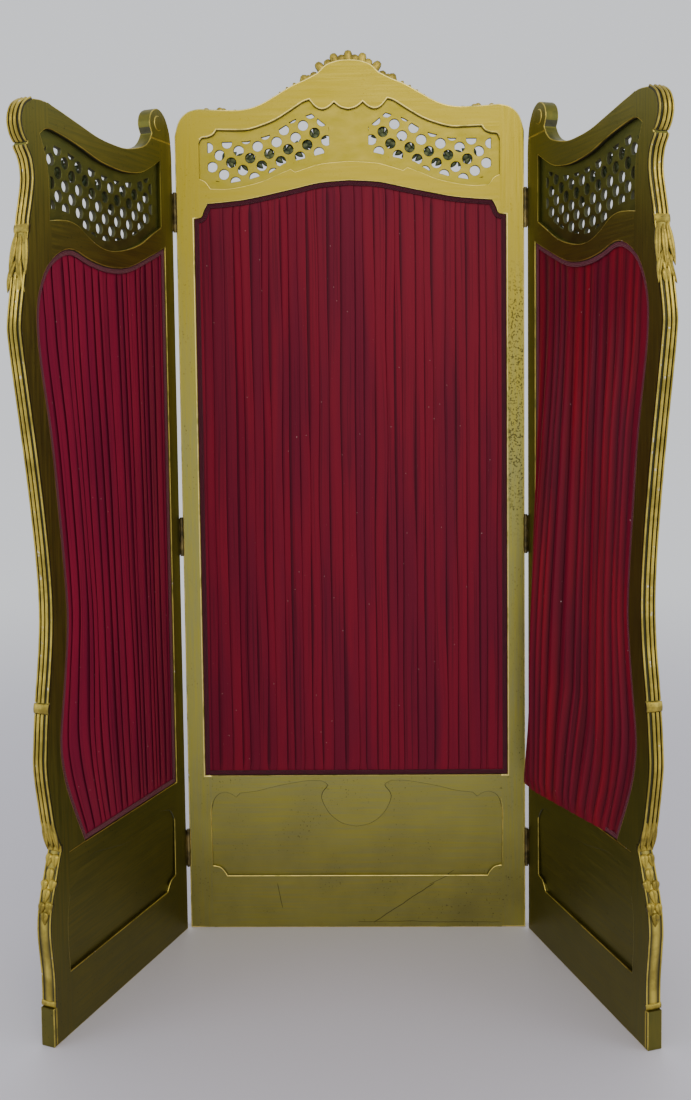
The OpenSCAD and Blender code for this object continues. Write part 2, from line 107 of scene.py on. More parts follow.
def flat_to_row(leaf, points):
    """Leaf coordinates (across, depth, up) to the frame's own, all in metres."""
    p = np.array(points, float).reshape(-1, 3)
    if leaf == "centre_panel":
        return p
    pin, turn = HINGES[leaf]["pos_m"], turn_of(leaf)
    x, y = side_of(leaf) * (p[:, 0] + GAP), p[:, 1] - pin[1]
    c, s = math.cos(turn), math.sin(turn)
    return np.stack([pin[0] + c * x - s * y, pin[1] + s * x + c * y, p[:, 2]], axis=1)


def depth_of(leaf):
    """The direction through a leaf's thickness, away from the viewer."""
    return Vector(np.diff(flat_to_row(leaf, [(0, 0, 0), (0, 1, 0)]), axis=0)[0])


def row_to_flat(leaf, points):
    """The way back from the frame's coordinates to the leaf's."""
    p = np.array(points, float).reshape(-1, 3)
    if leaf == "centre_panel":
        return p
    pin, turn = HINGES[leaf]["pos_m"], turn_of(leaf)
    x, y = p[:, 0] - pin[0], p[:, 1] - pin[1]
    c, s = math.cos(turn), math.sin(turn)
    return np.stack([side_of(leaf) * (c * x + s * y) - GAP, -s * x + c * y + pin[1], p[:, 2]], axis=1)


def points_of(piece):
    co = np.empty(len(piece.data.vertices) * 3)
    piece.data.vertices.foreach_get("co", co)
    return co.reshape(-1, 3)


INNER_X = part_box("centre_bottom_rail")[1].x - 22 * MM
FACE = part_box("centre_bottom_rail")[0].y
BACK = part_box("centre_bottom_rail")[1].y
wing_foot = row_to_flat("left_wing", points_of(NODES["left_hinge_stile"]))
WING_STILE = wing_foot[wing_foot[:, 2] < 0.01][:, 0].max()
print("inner face", FACE, "stile edge", INNER_X, "wing stile", round(WING_STILE, 4))

# %% [markdown]
# The camera stands in front at a little over a metre, about two and a quarter metres away, tipped
# down slightly. It could be tipped further to take in the floor, but a shift of the lens does the
# same and keeps the upright lines of the screen nearly upright.

# %% Camera
CAMERA_AT = Vector((0.0338, -2.2655, 1.134))
YAW, PITCH, ROLL = (math.radians(a) for a in (-1.22, 3.61, -0.69))
level = Vector((math.sin(YAW), math.cos(YAW), 0))
across = Vector((math.cos(YAW), -math.sin(YAW), 0))
ahead = level * math.cos(PITCH) - Vector((0, 0, 1)) * math.sin(PITCH)
above = Vector((0, 0, 1)) * math.cos(PITCH) + level * math.sin(PITCH)
right = across * math.cos(ROLL) + above * math.sin(ROLL)
upward = above * math.cos(ROLL) - across * math.sin(ROLL)
bpy.ops.object.camera_add(location=CAMERA_AT)
camera = bpy.context.object
camera.name = "camera"
camera.matrix_world = Matrix.Translation(CAMERA_AT) @ Matrix((right, upward, -ahead)).transposed().to_4x4()
camera.data.lens = 36
camera.data.sensor_width = 36
camera.data.shift_y = -0.0841
bpy.context.scene.camera = camera
print("camera at", tuple(camera.location))

# %% [markdown]
# A finish is a small tree of nodes. Helpers keep each tree short to read: they add a node and fill
# its sockets, do sums, mix two colours, and lay a noise. A pattern on wood is always laid in the
# leaf's own coordinates, so the brush marks of a rail run along the rail on every leaf.

# %% Helpers for materials
class Finish:
    """A material whose nodes are added one by one."""

    def __init__(self, name):
        self.material = bpy.data.materials.new(name)
        self.material.use_nodes = True
        self.tree = self.material.node_tree
        self.shader = self.tree.nodes["Principled BSDF"]

    def add(self, kind, settings=None, **sockets):
        """A new node; a socket is named with _ for each space and gets a value or a link."""
        node = self.tree.nodes.new(kind)
        for key, value in (settings or {}).items():
            setattr(node, key, value)
        for key, value in sockets.items():
            self.give(node.inputs[key.replace("_", " ")], value)
        return node

    def give(self, socket, value):
        if isinstance(value, bpy.types.NodeSocket):
            self.tree.links.new(value, socket)
        elif value is not None:
            socket.default_value = value

    def set(self, **sockets):
        for key, value in sockets.items():
            self.give(self.shader.inputs[key.replace("_", " ")], value)

    def place(self):
        return self.add("ShaderNodeTexCoord").outputs["Object"]

    def stored(self, name):
        """A number kept on each point of the mesh."""
        return self.add("ShaderNodeAttribute", {"attribute_name": name}).outputs["Fac"]

    def noise(self, vector, scale, detail, roughness):
        return self.add("ShaderNodeTexNoise", Vector=vector, Scale=scale, Detail=detail,
                        Roughness=roughness).outputs["Fac"]

    def laid(self, vector, stretch, detail, roughness):
        """Noise with stretched cells, for threads and brush marks."""
        stretched = self.add("ShaderNodeMapping", Vector=vector, Scale=stretch).outputs[0]
        return self.noise(stretched, 1.0, detail, roughness)

    def ramp(self, factor, low, high):
        return self.add("ShaderNodeMapRange", {"interpolation_type": "SMOOTHSTEP"}, Value=factor,
                        From_Min=low, From_Max=high).outputs["Result"]

    def mix(self, factor, first, second):
        node = self.add("ShaderNodeMix", {"data_type": "RGBA"})
        for index, value in ((0, factor), (6, first), (7, second)):
            self.give(node.inputs[index], value)
        return node.outputs[2]

    def math(self, operation, first, second=None):
        node = self.add("ShaderNodeMath", {"operation": operation})
        self.give(node.inputs[0], first)
        self.give(node.inputs[1], second)
        return node.outputs[0]

    def times(self, first, second):
        return self.math("MULTIPLY", first, second)

    def plus(self, first, second):
        return self.math("ADD", first, second)

    def leaf_space(self, leaf, stretch=(1, 1, 1)):
        """Object coordinates turned back to the leaf's own and stretched."""
        turned = self.add("ShaderNodeMapping", Vector=self.place(), Rotation=(0, 0, -turn_of(leaf)))
        return self.add("ShaderNodeMapping", Vector=turned.outputs[0], Scale=stretch).outputs[0]

    def bump(self, height, strength, distance):
        return self.add("ShaderNodeBump", Height=height, Strength=strength,
                        Distance=distance).outputs["Normal"]


print("helpers ready")

# %% [markdown]
# A pale floor, a pale surrounding and large soft lamps. Most light comes from the viewer's side, so
# the centre panel is bright and the wings, which are seen from inside and turned away from the
# lamp, stay deeper in tone; their paint is also given darker colours as painted shade. Far out, the
# floor fades into the surrounding, so it has no edge.

# %% Floor and light
SURROUND = (0.84, 0.86, 0.90, 1)
SURROUND_LIGHT = 1.05
FADE = (1.0, 4.5)  # distances at which the floor starts to fade and has gone, in metres
bpy.ops.object.select_all(action="DESELECT")
bpy.ops.mesh.primitive_plane_add(size=40, location=(0, 0, -0.0005))
floor = bpy.context.object
floor.name = "floor"
pale = Finish("pale_floor")
pale.set(Base_Color=(0.62, 0.60, 0.66, 1), Roughness=0.5)
glow = pale.add("ShaderNodeEmission", Color=SURROUND, Strength=SURROUND_LIGHT)
away = pale.add("ShaderNodeVectorMath", {"operation": "LENGTH"}, Vector=pale.place())
meeting = pale.add("ShaderNodeMixShader")
pale.give(meeting.inputs[0], pale.ramp(away.outputs["Value"], *FADE))
pale.give(meeting.inputs[1], pale.shader.outputs[0])
pale.give(meeting.inputs[2], glow.outputs[0])
pale.give(pale.tree.nodes["Material Output"].inputs["Surface"], meeting.outputs[0])
floor.data.materials.append(pale.material)

world = bpy.data.worlds.new("pale_room")
world.use_nodes = True
background = world.node_tree.nodes["Background"]
background.inputs["Color"].default_value = SURROUND
background.inputs["Strength"].default_value = SURROUND_LIGHT
bpy.context.scene.world = world


def lamp(name, place, target, size, watts, tint):
    """A soft rectangular lamp that looks at a target."""
    bpy.ops.object.light_add(type="AREA", location=place)
    light = bpy.context.object
    light.name = name
    light.data.shape = "RECTANGLE"
    light.data.size, light.data.size_y = size
    light.data.energy = watts
    light.data.color = tint
    light.rotation_euler = (Vector(target) - Vector(place)).to_track_quat("-Z", "Y").to_euler()


lamp("key_lamp", (0.5, -3.6, 2.9), (0, 0, 1.0), (2.4, 1.8), 52, (1.0, 0.90, 0.68))
lamp("left_window", (-3.0, -1.6, 1.6), (0, -0.2, 0.9), (1.6, 2.2), 16, (0.82, 0.90, 1.0))
lamp("right_window", (3.0, -1.4, 1.6), (0, -0.2, 0.9), (1.6, 2.2), 15, (0.85, 0.92, 1.0))

# %% [markdown]
# The wood is painted with bronze powder in size, then toned. Old bronze paint is uneven: the brush
# leaves long streaks along each member, it darkens to olive where it tarnishes, it is speckled with
# tiny dark pits, and handling rubs it bright on the edges, down to white gesso in places; the edges
# are also brightened as a painted highlight. The paint is darker towards the foot. The top of the
# centre panel is painted deeper and yellower as shade, against the lamp's stronger light there, and
# the panel has a speckled patch and a few long scratches. The wings and the pierced boards are
# painted darker than the centre's frame, as painted shade.

# %% Bronze paint
# The wings' colours are darker than the centre panel's: painted shade, as the wings turn away from the
# lamp.
BRIGHT = {"centre_panel": (0.43, 0.385, 0.070, 1), "left_wing": (0.215, 0.185, 0.034, 1),
          "right_wing": (0.205, 0.180, 0.034, 1)}
TONED = {"centre_panel": (0.34, 0.325, 0.115, 1), "left_wing": (0.135, 0.132, 0.032, 1),
         "right_wing": (0.130, 0.130, 0.032, 1)}
# painted shade for the centre panel's top: deeper and yellower, against the lamp's light and pale
# reflections there
TOP_SHADE_TINT = (0.36, 0.265, 0.002, 1)
# the colour the paint darkens to towards the foot
FOOT_DARK = (0.11, 0.090, 0.022, 1)
PITS = (0.055, 0.045, 0.018, 1)
GESSO = (0.78, 0.72, 0.60, 1)
# long scratches near the foot: from (x, z) to (x, z) and half the width, all in metres
SCRATCHES = ((0.033, 0.010, 0.162, 0.096, 0.0013), (0.150, 0.092, 0.205, 0.120, 0.0008),
             (-0.168, 0.096, -0.158, 0.040, 0.0010), (0.0, 0.0125, 0.30, 0.0105, 0.0007))


def top_shade_and_wear_marks(f, colour, fine, grain):
    """Painted shade at the top, specks on the right stile, and scratches on the bottom rail."""
    split = f.add("ShaderNodeSeparateXYZ", Vector=f.place())
    x, z = split.outputs[0], split.outputs[2]
    # painted shade, stronger towards the top
    colour = f.mix(f.times(f.ramp(z, 0.9, 1.6), 0.68), colour, TOP_SHADE_TINT)
    if grain == "up":
        patch = f.times(f.ramp(z, 0.78, 0.98), f.ramp(z, 1.42, 1.28))
        patch = f.times(patch, f.ramp(x, 0.300, 0.306))
        specks = f.times(f.ramp(fine, 0.54, 0.60), patch)
        return f.mix(f.times(specks, 0.75), colour, PITS)
    if grain != "across":
        return colour
    shaky = f.noise(f.add("ShaderNodeCombineXYZ", X=x, Z=z).outputs[0], 14, 3, 0.6)
    for x0, z0, x1, z1, wide in SCRATCHES:
        run, rise = x1 - x0, z1 - z0
        size = math.hypot(run, rise)
        off = f.plus(f.times(x, rise / size), f.times(z, -run / size))
        off = f.plus(off, (-x0 * rise + z0 * run) / size - 0.004)
        off = f.math("ABSOLUTE", f.plus(off, f.times(shaky, 0.008)))
        gone = f.plus(f.times(x, run / size), f.times(z, rise / size))
        gone = f.plus(gone, -(x0 * run + z0 * rise) / size)
        there = f.times(f.ramp(gone, -0.002, 0.006), f.ramp(gone, size + 0.002, size - 0.006))
        mark = f.times(f.ramp(off, wide, wide * 0.35), there)
        colour = f.mix(f.times(mark, 0.85), colour, PITS)
    return colour


def bronze_paint(leaf, grain):
    """Flat painted faces; grain is the way the brush went, and the sunk boards are painted greener and
    darker as shade.
    """
    f = Finish(f"bronze_{PREFIX[leaf]}{grain}")
    along = {"across": (9, 60, 260), "up": (260, 60, 9), "sunk": (30, 60, 60)}[grain]
    bright, toned = BRIGHT[leaf], TONED[leaf]
    # painted shade: the sunk pierced boards sit deep in their openings, so their paint is made greener and
    # darker
    if grain == "sunk":
        bright, toned = ((c[0] * 0.72, c[1] * 0.84, c[2] * 1.05, 1) for c in (bright, toned))
    streaks = f.noise(f.leaf_space(leaf, along), 1.0, 4, 0.6)
    clouds = f.noise(f.leaf_space(leaf), 7.0, 4, 0.6)
    fine = f.noise(f.leaf_space(leaf), 260, 2, 0.5)
    colour = f.mix(f.ramp(streaks, 0.28, 0.74), toned, bright)
    colour = f.mix(f.times(f.ramp(clouds, 0.42, 0.75), 0.45), colour, toned)
    low = f.add("ShaderNodeSeparateXYZ", Vector=f.leaf_space(leaf)).outputs["Z"]
    # darker towards the foot, mottled by the clouds
    foot_dark = f.times(f.ramp(low, 0.50, 0.05), f.plus(f.times(clouds, 0.7), 0.05))
    colour = f.mix(foot_dark, colour, FOOT_DARK)
    pits = f.times(f.ramp(fine, 0.66, 0.72), f.ramp(clouds, 0.45, 0.60))
    colour = f.mix(f.times(pits, 0.8), colour, PITS)
    if leaf == "centre_panel":
        colour = top_shade_and_wear_marks(f, colour, fine, grain)
    f.set(Base_Color=colour, Metallic=0.97, Specular_IOR_Level=0.2)
    f.set(Roughness=f.plus(f.times(streaks, 0.25), 0.33))
    height = f.plus(f.times(streaks, 0.6), f.times(fine, 0.4))
    f.set(Normal=f.bump(height, 0.25, 0.0006))
    return f.material


def worn_and_highlit_gold(leaf):
    """Worn edges, brightened as a painted highlight: bright metal leaf with chips down to the gesso."""
    f = Finish(f"rubbed_{PREFIX[leaf]}edge")
    patches = f.noise(f.leaf_space(leaf), 26, 4, 0.65)
    chips = f.noise(f.leaf_space(leaf), 75, 3, 0.6)
    # the shine is partly wear and partly a painted highlight; on the wings it is painted darker as shade
    shine = (0.93, 0.76, 0.22, 1) if leaf == "centre_panel" else (0.52, 0.41, 0.08, 1)
    gold = f.mix(f.ramp(patches, 0.30, 0.55), BRIGHT[leaf], shine)
    colour = f.mix(f.ramp(chips, 0.68, 0.72), gold, GESSO)
    f.set(Base_Color=colour, Metallic=0.75, Roughness=f.plus(f.times(patches, 0.3), 0.22))
    f.set(Normal=f.bump(chips, 0.35, 0.0006))
    return f.material


def hollow_shade_and_dust():
    """Walls that face down or lie inside holes: painted shade, with a little dust."""
    f = Finish("hollow_shade_and_dust")
    shade_and_dust_mottle = f.noise(f.place(), 120, 3, 0.6)
    f.set(Base_Color=f.mix(shade_and_dust_mottle, (0.020, 0.022, 0.008, 1), (0.075, 0.070, 0.022, 1)), Roughness=0.75)
    f.set(Normal=f.bump(shade_and_dust_mottle, 0.3, 0.0006))
    return f.material


HOLLOW_SHADE_AND_DUST = hollow_shade_and_dust()
PAINT = {(leaf, grain): bronze_paint(leaf, grain) for leaf in LEAVES for grain in ("across", "up", "sunk")}
EDGE = {leaf: worn_and_highlit_gold(leaf) for leaf in LEAVES}
print("finishes:", [m.name for m in bpy.data.materials])

# %% [markdown]
# Sawn and carved wood never has a knife-sharp corner. Each CAD member is copied, its triangles are
# merged back to flat faces, and its visible corners are bevelled in edit mode. The bevel's faces get
# the rubbed finish, worn and also brightened as a painted highlight. Walls that face down get the
# dark hollow finish, painted shade with a little dust. The corners at the butt joints between
# members are left sharp.

# %% Softened wood members
JOINT_ACROSS = {"centre_panel": (INNER_X, -INNER_X), "left_wing": (WING_STILE, 0.398, 0.340),
                "right_wing": (WING_STILE, 0.398, 0.340)}
UPRIGHT = ("stile", "scroll", "foot_block")
ROUNDED = {"centre_panel": 2.6 * MM, "left_wing": 1.6 * MM, "right_wing": 1.6 * MM}
ROUNDED_LOW = 1.3 * MM  # the rails at the foot
LOCK_LINE = 0.322  # the lock rail's carved outline lies below this height, its lip above
LOCK_LIP = 0.330
LOCK_ROUNDED = 0.9 * MM
SHARP = 28  # degrees between two faces that meet in a corner


def only(piece):
    """Makes a piece the one selected and active object."""
    bpy.ops.object.select_all(action="DESELECT")
    piece.select_set(True)
    bpy.context.view_layer.objects.active = piece


def painted(piece, *finishes):
    """Gives a piece its finishes, one slot each."""
    piece.data.materials.clear()
    for finish in finishes:
        piece.data.materials.append(finish)


def turn_over(piece):
    """Turns every face of an open sheet to look the other way."""
    only(piece)
    bpy.ops.object.mode_set(mode="EDIT")
    bpy.ops.mesh.select_all(action="SELECT")
    bpy.ops.mesh.flip_normals()
    bpy.ops.object.mode_set(mode="OBJECT")


def copy_of(node, name):
    """A copy of a CAD node with its triangles merged back to flat faces."""
    piece = NODES[node].copy()
    piece.data = NODES[node].data.copy()
    piece.name = name
    piece.parent = None
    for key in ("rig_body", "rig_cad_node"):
        if key in piece:
            del piece[key]
    bpy.context.scene.collection.objects.link(piece)
    only(piece)
    bpy.ops.object.mode_set(mode="EDIT")
    bpy.ops.mesh.select_all(action="SELECT")
    bpy.ops.mesh.remove_doubles(threshold=0.00001)
    bpy.ops.mesh.dissolve_limited(angle_limit=math.radians(1.0))
    bpy.ops.object.mode_set(mode="OBJECT")
    return piece


def sharp_edges(piece):
    """Every edge where two faces meet at a clear angle, as a mask."""
    mesh = piece.data
    normals = {}
    for face in mesh.polygons:
        for key in face.edge_keys:
            normals.setdefault(key, []).append(face.normal)
    limit = math.cos(math.radians(SHARP))
    return np.array([len(normals.get(e.key, ())) == 2
                     and normals[e.key][0].dot(normals[e.key][1]) < limit for e in mesh.edges])


def bevel_edges(piece, mask, width, segments, material, clamp=False):
    """Rounds the marked edges in edit mode and gives the new faces one material slot."""
    bpy.ops.object.mode_set(mode="EDIT")
    bpy.ops.mesh.select_all(action="DESELECT")
    bpy.ops.mesh.select_mode(type="EDGE")
    bpy.ops.object.mode_set(mode="OBJECT")
    piece.data.edges.foreach_set("select", mask)
    bpy.ops.object.mode_set(mode="EDIT")
    bpy.ops.mesh.bevel(offset=width, segments=segments, affect="EDGES", clamp_overlap=clamp,
                       material=material)
    bpy.ops.object.mode_set(mode="OBJECT")


def soften(node, leaf):
    """Copies a member, breaks its visible corners and paints it."""
    piece = copy_of(node, node + "_wood")
    grain = "up" if any(word in node for word in UPRIGHT) else "across"
    width = ROUNDED_LOW if "lock_rail" in node or "bottom_rail" in node else ROUNDED[leaf]
    painted(piece, PAINT[leaf, grain], EDGE[leaf], HOLLOW_SHADE_AND_DUST)
    depth_way = depth_of(leaf)
    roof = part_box(node)[1].z - 0.002
    # walls that face down get the hollow finish: painted shade, with a little dust
    for face in piece.data.polygons:
        if abs(face.normal.dot(depth_way)) < 0.3 and face.normal.z < -0.35 and face.center.z < roof:
            face.material_index = 2 if face.center.z > 0.1 else 0
    flat = row_to_flat(leaf, points_of(piece))
    ends = np.array([e.vertices[:] for e in piece.data.edges])
    on_joint = np.zeros(len(ends), bool)
    length = np.linalg.norm(flat[ends[:, 0]] - flat[ends[:, 1]], axis=1)
    for plane in JOINT_ACROSS[leaf]:
        near = abs(flat[:, 0] - plane) < 0.0004
        on_joint |= near[ends[:, 0]] & near[ends[:, 1]]
        on_joint |= (near[ends[:, 0]] | near[ends[:, 1]]) & (length < 1.6 * width)
    depth = flat[ends][:, :, 1]
    outside = (abs(depth - FACE) < 0.0004).all(1) | (abs(depth - BACK) < 0.0004).all(1)
    keep = sharp_edges(piece) & ~on_joint & (length > 0.0009) & outside
    # on the lock rail the carved line is bevelled in the hollow finish, painted dark as shade, and its lip
    # in the edge finish, worn and painted as a highlight
    if "lock_rail" in node:
        line = keep & (flat[ends][:, :, 2] < LOCK_LINE).all(1)
        lip = keep & ~line & (flat[ends][:, :, 2] < LOCK_LIP).all(1)
        bevel_edges(piece, line | lip, LOCK_ROUNDED, 1, 2)
        for face in piece.data.polygons:
            if face.material_index == 2 and face.center.z > LOCK_LINE:
                face.material_index = 1
    else:
        bevel_edges(piece, keep, width, 2, 1, clamp="middle_rail" in node)
    only(piece)
    bpy.ops.object.shade_smooth_by_angle(angle=math.radians(32))
    bpy.ops.object.modifier_add(type="WEIGHTED_NORMAL")
    piece.modifiers[-1].weight = 100
    piece.modifiers[-1].keep_sharp = True
    bpy.ops.object.modifier_apply(modifier=piece.modifiers[-1].name)
    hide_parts(node)
    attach(piece, leaf)
    return piece


MEMBERS = {"centre_panel": ["centre_left_stile", "centre_right_stile", "crest_rail",
                            "centre_middle_rail", "centre_lock_rail", "centre_bottom_rail"]}
for side in ("left", "right"):
    MEMBERS[side + "_wing"] = [f"{side}_{part}" for part in (
        "hinge_stile", "outer_stile", "top_rail", "middle_rail", "lock_rail", "bottom_rail",
        "scroll", "foot_block")]
for leaf, names in MEMBERS.items():
    for name in names:
        made = soften(name, leaf)
        print(made.name, "faces", len(made.data.polygons))

# %% [markdown]
# Many parts of this screen are long strips that follow a drawn line: reeded edges, braid, the cloth
# itself. Each is a flat grid that is bent into place. The grid's columns follow the line and its
# rows follow the section, and its UV map keeps the true lengths in metres, so a pattern such as a
# stitch stays the same size all along the strip.

# %% A grid bent into place
def bent_grid(name, places, lengths=None, fold=None, merge=False, caps=False):
    """Makes a grid whose vertex at column i and row j sits at places[i, j] (metres)."""
    columns, rows = places.shape[:2]
    bpy.ops.object.select_all(action="DESELECT")
    bpy.ops.mesh.primitive_grid_add(x_subdivisions=columns - 1, y_subdivisions=rows - 1, size=2)
    strip = bpy.context.object
    strip.name = name
    flat = points_of(strip)
    i = np.rint((flat[:, 0] + 1) / 2 * (columns - 1)).astype(int)
    j = np.rint((flat[:, 1] + 1) / 2 * (rows - 1)).astype(int)
    strip.data.vertices.foreach_set("co", places[i, j].astype(np.float32).ravel())
    if lengths is None:
        along = np.linalg.norm(np.diff(places[:, 0], axis=0), axis=1)
        round_it = np.linalg.norm(np.diff(places[columns // 2], axis=0), axis=1)
        u, v = np.meshgrid(np.r_[0, along.cumsum()], np.r_[0, round_it.cumsum()], indexing="ij")
        lengths = np.stack([u, v], axis=2)
    corner = np.empty(len(strip.data.loops), int)
    strip.data.loops.foreach_get("vertex_index", corner)
    uv = lengths[i[corner], j[corner]]
    strip.data.uv_layers[0].data.foreach_set("uv", uv.astype(np.float32).ravel())
    if fold is not None:
        shade = strip.data.attributes.new("fold", "FLOAT", "POINT")
        shade.data.foreach_set("value", fold[i, j].astype(np.float32))
    only(strip)
    bpy.ops.object.mode_set(mode="EDIT")
    bpy.ops.mesh.select_all(action="SELECT")
    if merge:
        bpy.ops.mesh.remove_doubles(threshold=0.000002)
    if caps:
        bpy.ops.mesh.select_all(action="DESELECT")
        bpy.ops.mesh.select_non_manifold(extend=False)
        bpy.ops.mesh.fill_holes(sides=0)
        bpy.ops.mesh.select_all(action="SELECT")
        bpy.ops.mesh.normals_make_consistent(inside=False)
    bpy.ops.object.mode_set(mode="OBJECT")
    return strip


def resampled(line, step):
    """A line's points at even steps along its length."""
    line = np.array(line, float)
    gone = np.r_[0, np.linalg.norm(np.diff(line, axis=0), axis=1).cumsum()]
    count = max(2, int(round(gone[-1] / step)) + 1)
    at = np.linspace(0, gone[-1], count)
    return np.stack([np.interp(at, gone, line[:, k]) for k in range(line.shape[1])], axis=1)


def eased(t):
    """Turns a straight rise from 0 to 1 into one with soft ends."""
    return t * t * (3 - 2 * t)


def wander(seed, values, cell):
    """A smooth, repeatable wobble between -1 and 1 along a number line."""
    rng = np.random.default_rng(seed)
    knots = rng.uniform(-1, 1, 4096)
    at = np.asarray(values, float) / cell + 1000
    low = np.floor(at).astype(int)
    t = eased(at - low)
    return knots[low % 4096] * (1 - t) + knots[(low + 1) % 4096] * t


print("a strip of", len(resampled([(0, 0), (0, 1)], 0.1)), "points")

# %% [markdown]
# The cloth openings are drawn in the CAD model. The front outline of each cloth slab is read from
# its mesh: the edges that belong to only one triangle of the front face, chained into one loop.

# %% Outlines of the cloth openings
def front_outline(node, leaf):
    """The outline of a slab's front face as (across, up), anticlockwise from its lowest point."""
    flat = row_to_flat(leaf, points_of(NODES[node]))
    front = flat[:, 1].min()
    key = [(round(p[0], 5), round(p[2], 5)) if abs(p[1] - front) < 0.0002 else None for p in flat]
    count = {}
    for face in NODES[node].data.polygons:
        corners = [key[i] for i in face.vertices]
        if None in corners:
            continue
        for a, b in zip(corners, corners[1:] + corners[:1]):
            count.setdefault(frozenset((a, b)), []).append((a, b))
    after = {}
    for pair, uses in count.items():
        if len(uses) == 1 and len(pair) == 2:
            for a, b in (uses[0], uses[0][::-1]):
                after.setdefault(a, []).append(b)
    loop = [min(after, key=lambda p: (p[1], p[0]))]
    while len(loop) < len(after):
        choices = [p for p in after[loop[-1]] if p not in loop[-2:]]
        if not choices or choices[0] == loop[0]:
            break
        loop.append(choices[0])
    loop = np.array(loop)
    area = (loop[:, 0] * np.roll(loop[:, 1], -1) - np.roll(loop[:, 0], -1) * loop[:, 1]).sum()
    return loop if area > 0 else np.roll(loop[::-1], 1, axis=0)


CLOTH = {leaf: front_outline(PREFIX[leaf] + "fabric", leaf) for leaf in LEAVES}
for leaf, outline in CLOTH.items():
    print(leaf, len(outline), "points", outline.min(0).round(4), outline.max(0).round(4))


def four_sides(outline):
    """Bottom corners, the outer side and the top line of a cloth opening."""
    low = outline[:, 1].min()
    bottom = outline[abs(outline[:, 1] - low) < 0.0005]
    left, right = bottom[:, 0].min(), bottom[:, 0].max()
    start = int(np.argmin(np.hypot(outline[:, 0] - right, outline[:, 1] - low)))
    loop = np.roll(outline, -start, axis=0)
    straight = abs(outline[:, 0].max() - right) < 0.002
    if straight:
        turn = int(np.where(loop[:, 0] > right - 0.002)[0].max())
    else:
        turn = int(np.argmax(loop[:, 0]))
    end = int(np.argmin(np.hypot(loop[:, 0] - left, loop[:, 1] - low)))
    top = loop[turn:end][::-1]
    top = top[(np.r_[True, np.diff(top[:, 0]) > 1e-6])]
    return left, right, low, loop[:turn + 1], top


for leaf in LEAVES:
    left, right, low, side_line, top_line = four_sides(CLOTH[leaf])
    print(leaf, round(left, 3), round(right, 3), round(low, 3), len(side_line), len(top_line))

# %% [markdown]
# The cloth is gathered: far more cloth than the opening is wide is laid in folds, and the folds are
# pinned at the top and the bottom. One fold is drawn once, as points across it: how far along, how
# near to the viewer, and how deep in shade. On the centre and left leaves the folds are flat and
# lap under each other. On the right wing they stand up as rounded ridges.

# %% One fold of cloth
# (share of the fold's width, share of the lap, nearness, depth of shade)
LAPPED = [(0, -1, 0.03, 1), (0, -0.45, 0.08, 1), (0, 0.1, 0.16, 0.85), (0.07, 0.1, 0.30, 0.40),
          (0.18, 0, 0.44, 0.14), (0.32, 0, 0.52, 0.05), (0.45, 0, 0.60, 0.0), (0.58, 0, 0.68, 0.0),
          (0.70, 0, 0.75, 0), (0.82, 0, 0.84, 0), (0.92, 0, 0.94, 0), (1, -0.1, 1.0, 0),
          (1, 0.0, 0.95, 0.3), (1, -0.14, 0.84, 0.9), (1, -0.55, 0.70, 1), (1, -0.96, 0.52, 1),
          (1, -1.06, 0.28, 1)]
RIDGED = [(0, 0, 0.0, 1.0), (0.06, 0, 0.10, 0.95), (0.15, 0, 0.38, 0.60), (0.27, 0, 0.66, 0.25),
          (0.39, 0, 0.86, 0.06), (0.49, 0, 0.97, 0.0), (0.56, 0, 1.0, 0.0), (0.63, 0, 0.95, 0.0),
          (0.72, 0, 0.72, 0.12), (0.82, 0, 0.42, 0.45), (0.91, 0, 0.16, 0.80)]


def folds(shape, count, lap, width, seed):
    """Columns of all the folds: place along in metres, nearness, shade and the fold's number."""
    rng = np.random.default_rng(seed)
    share = rng.uniform(0.62, 1.38, count)
    share = share / share.sum() * width
    start = np.r_[0, share.cumsum()]
    rows = []
    for k in range(count):
        lift = rng.uniform(0.72, 1.0)
        for along, lapped, near, shade in shape:
            rows.append((start[k] + along * share[k] + lapped * lap, near * lift, shade, k))
    rows.append((width, 0.2, 0.8, count - 1))
    rows = np.array(rows)
    rows[:, 0] = rows[:, 0].clip(0, width)
    return rows


# the shape of each leaf's folds, their number, and how far one laps over the next
FOLDS = {"centre_panel": (LAPPED, 31, 5 * MM), "left_wing": (LAPPED, 18, 4.5 * MM),
         "right_wing": (RIDGED, 14, 0)}
print("columns in a metre of centre cloth:", len(folds(*FOLDS["centre_panel"], 1.0, seed=3)))

# %% [markdown]
# Sateen: the threads on the face shine a little, the folds are painted darker towards their roots as
# shade, fine creases are painted as dark lines of shade, and broad bands of lighter and deeper, more
# purple crimson are painted light and shade across the cloth. The pattern follows the cloth's own
# UV map, so a thread runs on through a fold. The painted shade of a fold is a number stored on each
# point of the cloth when it is folded.

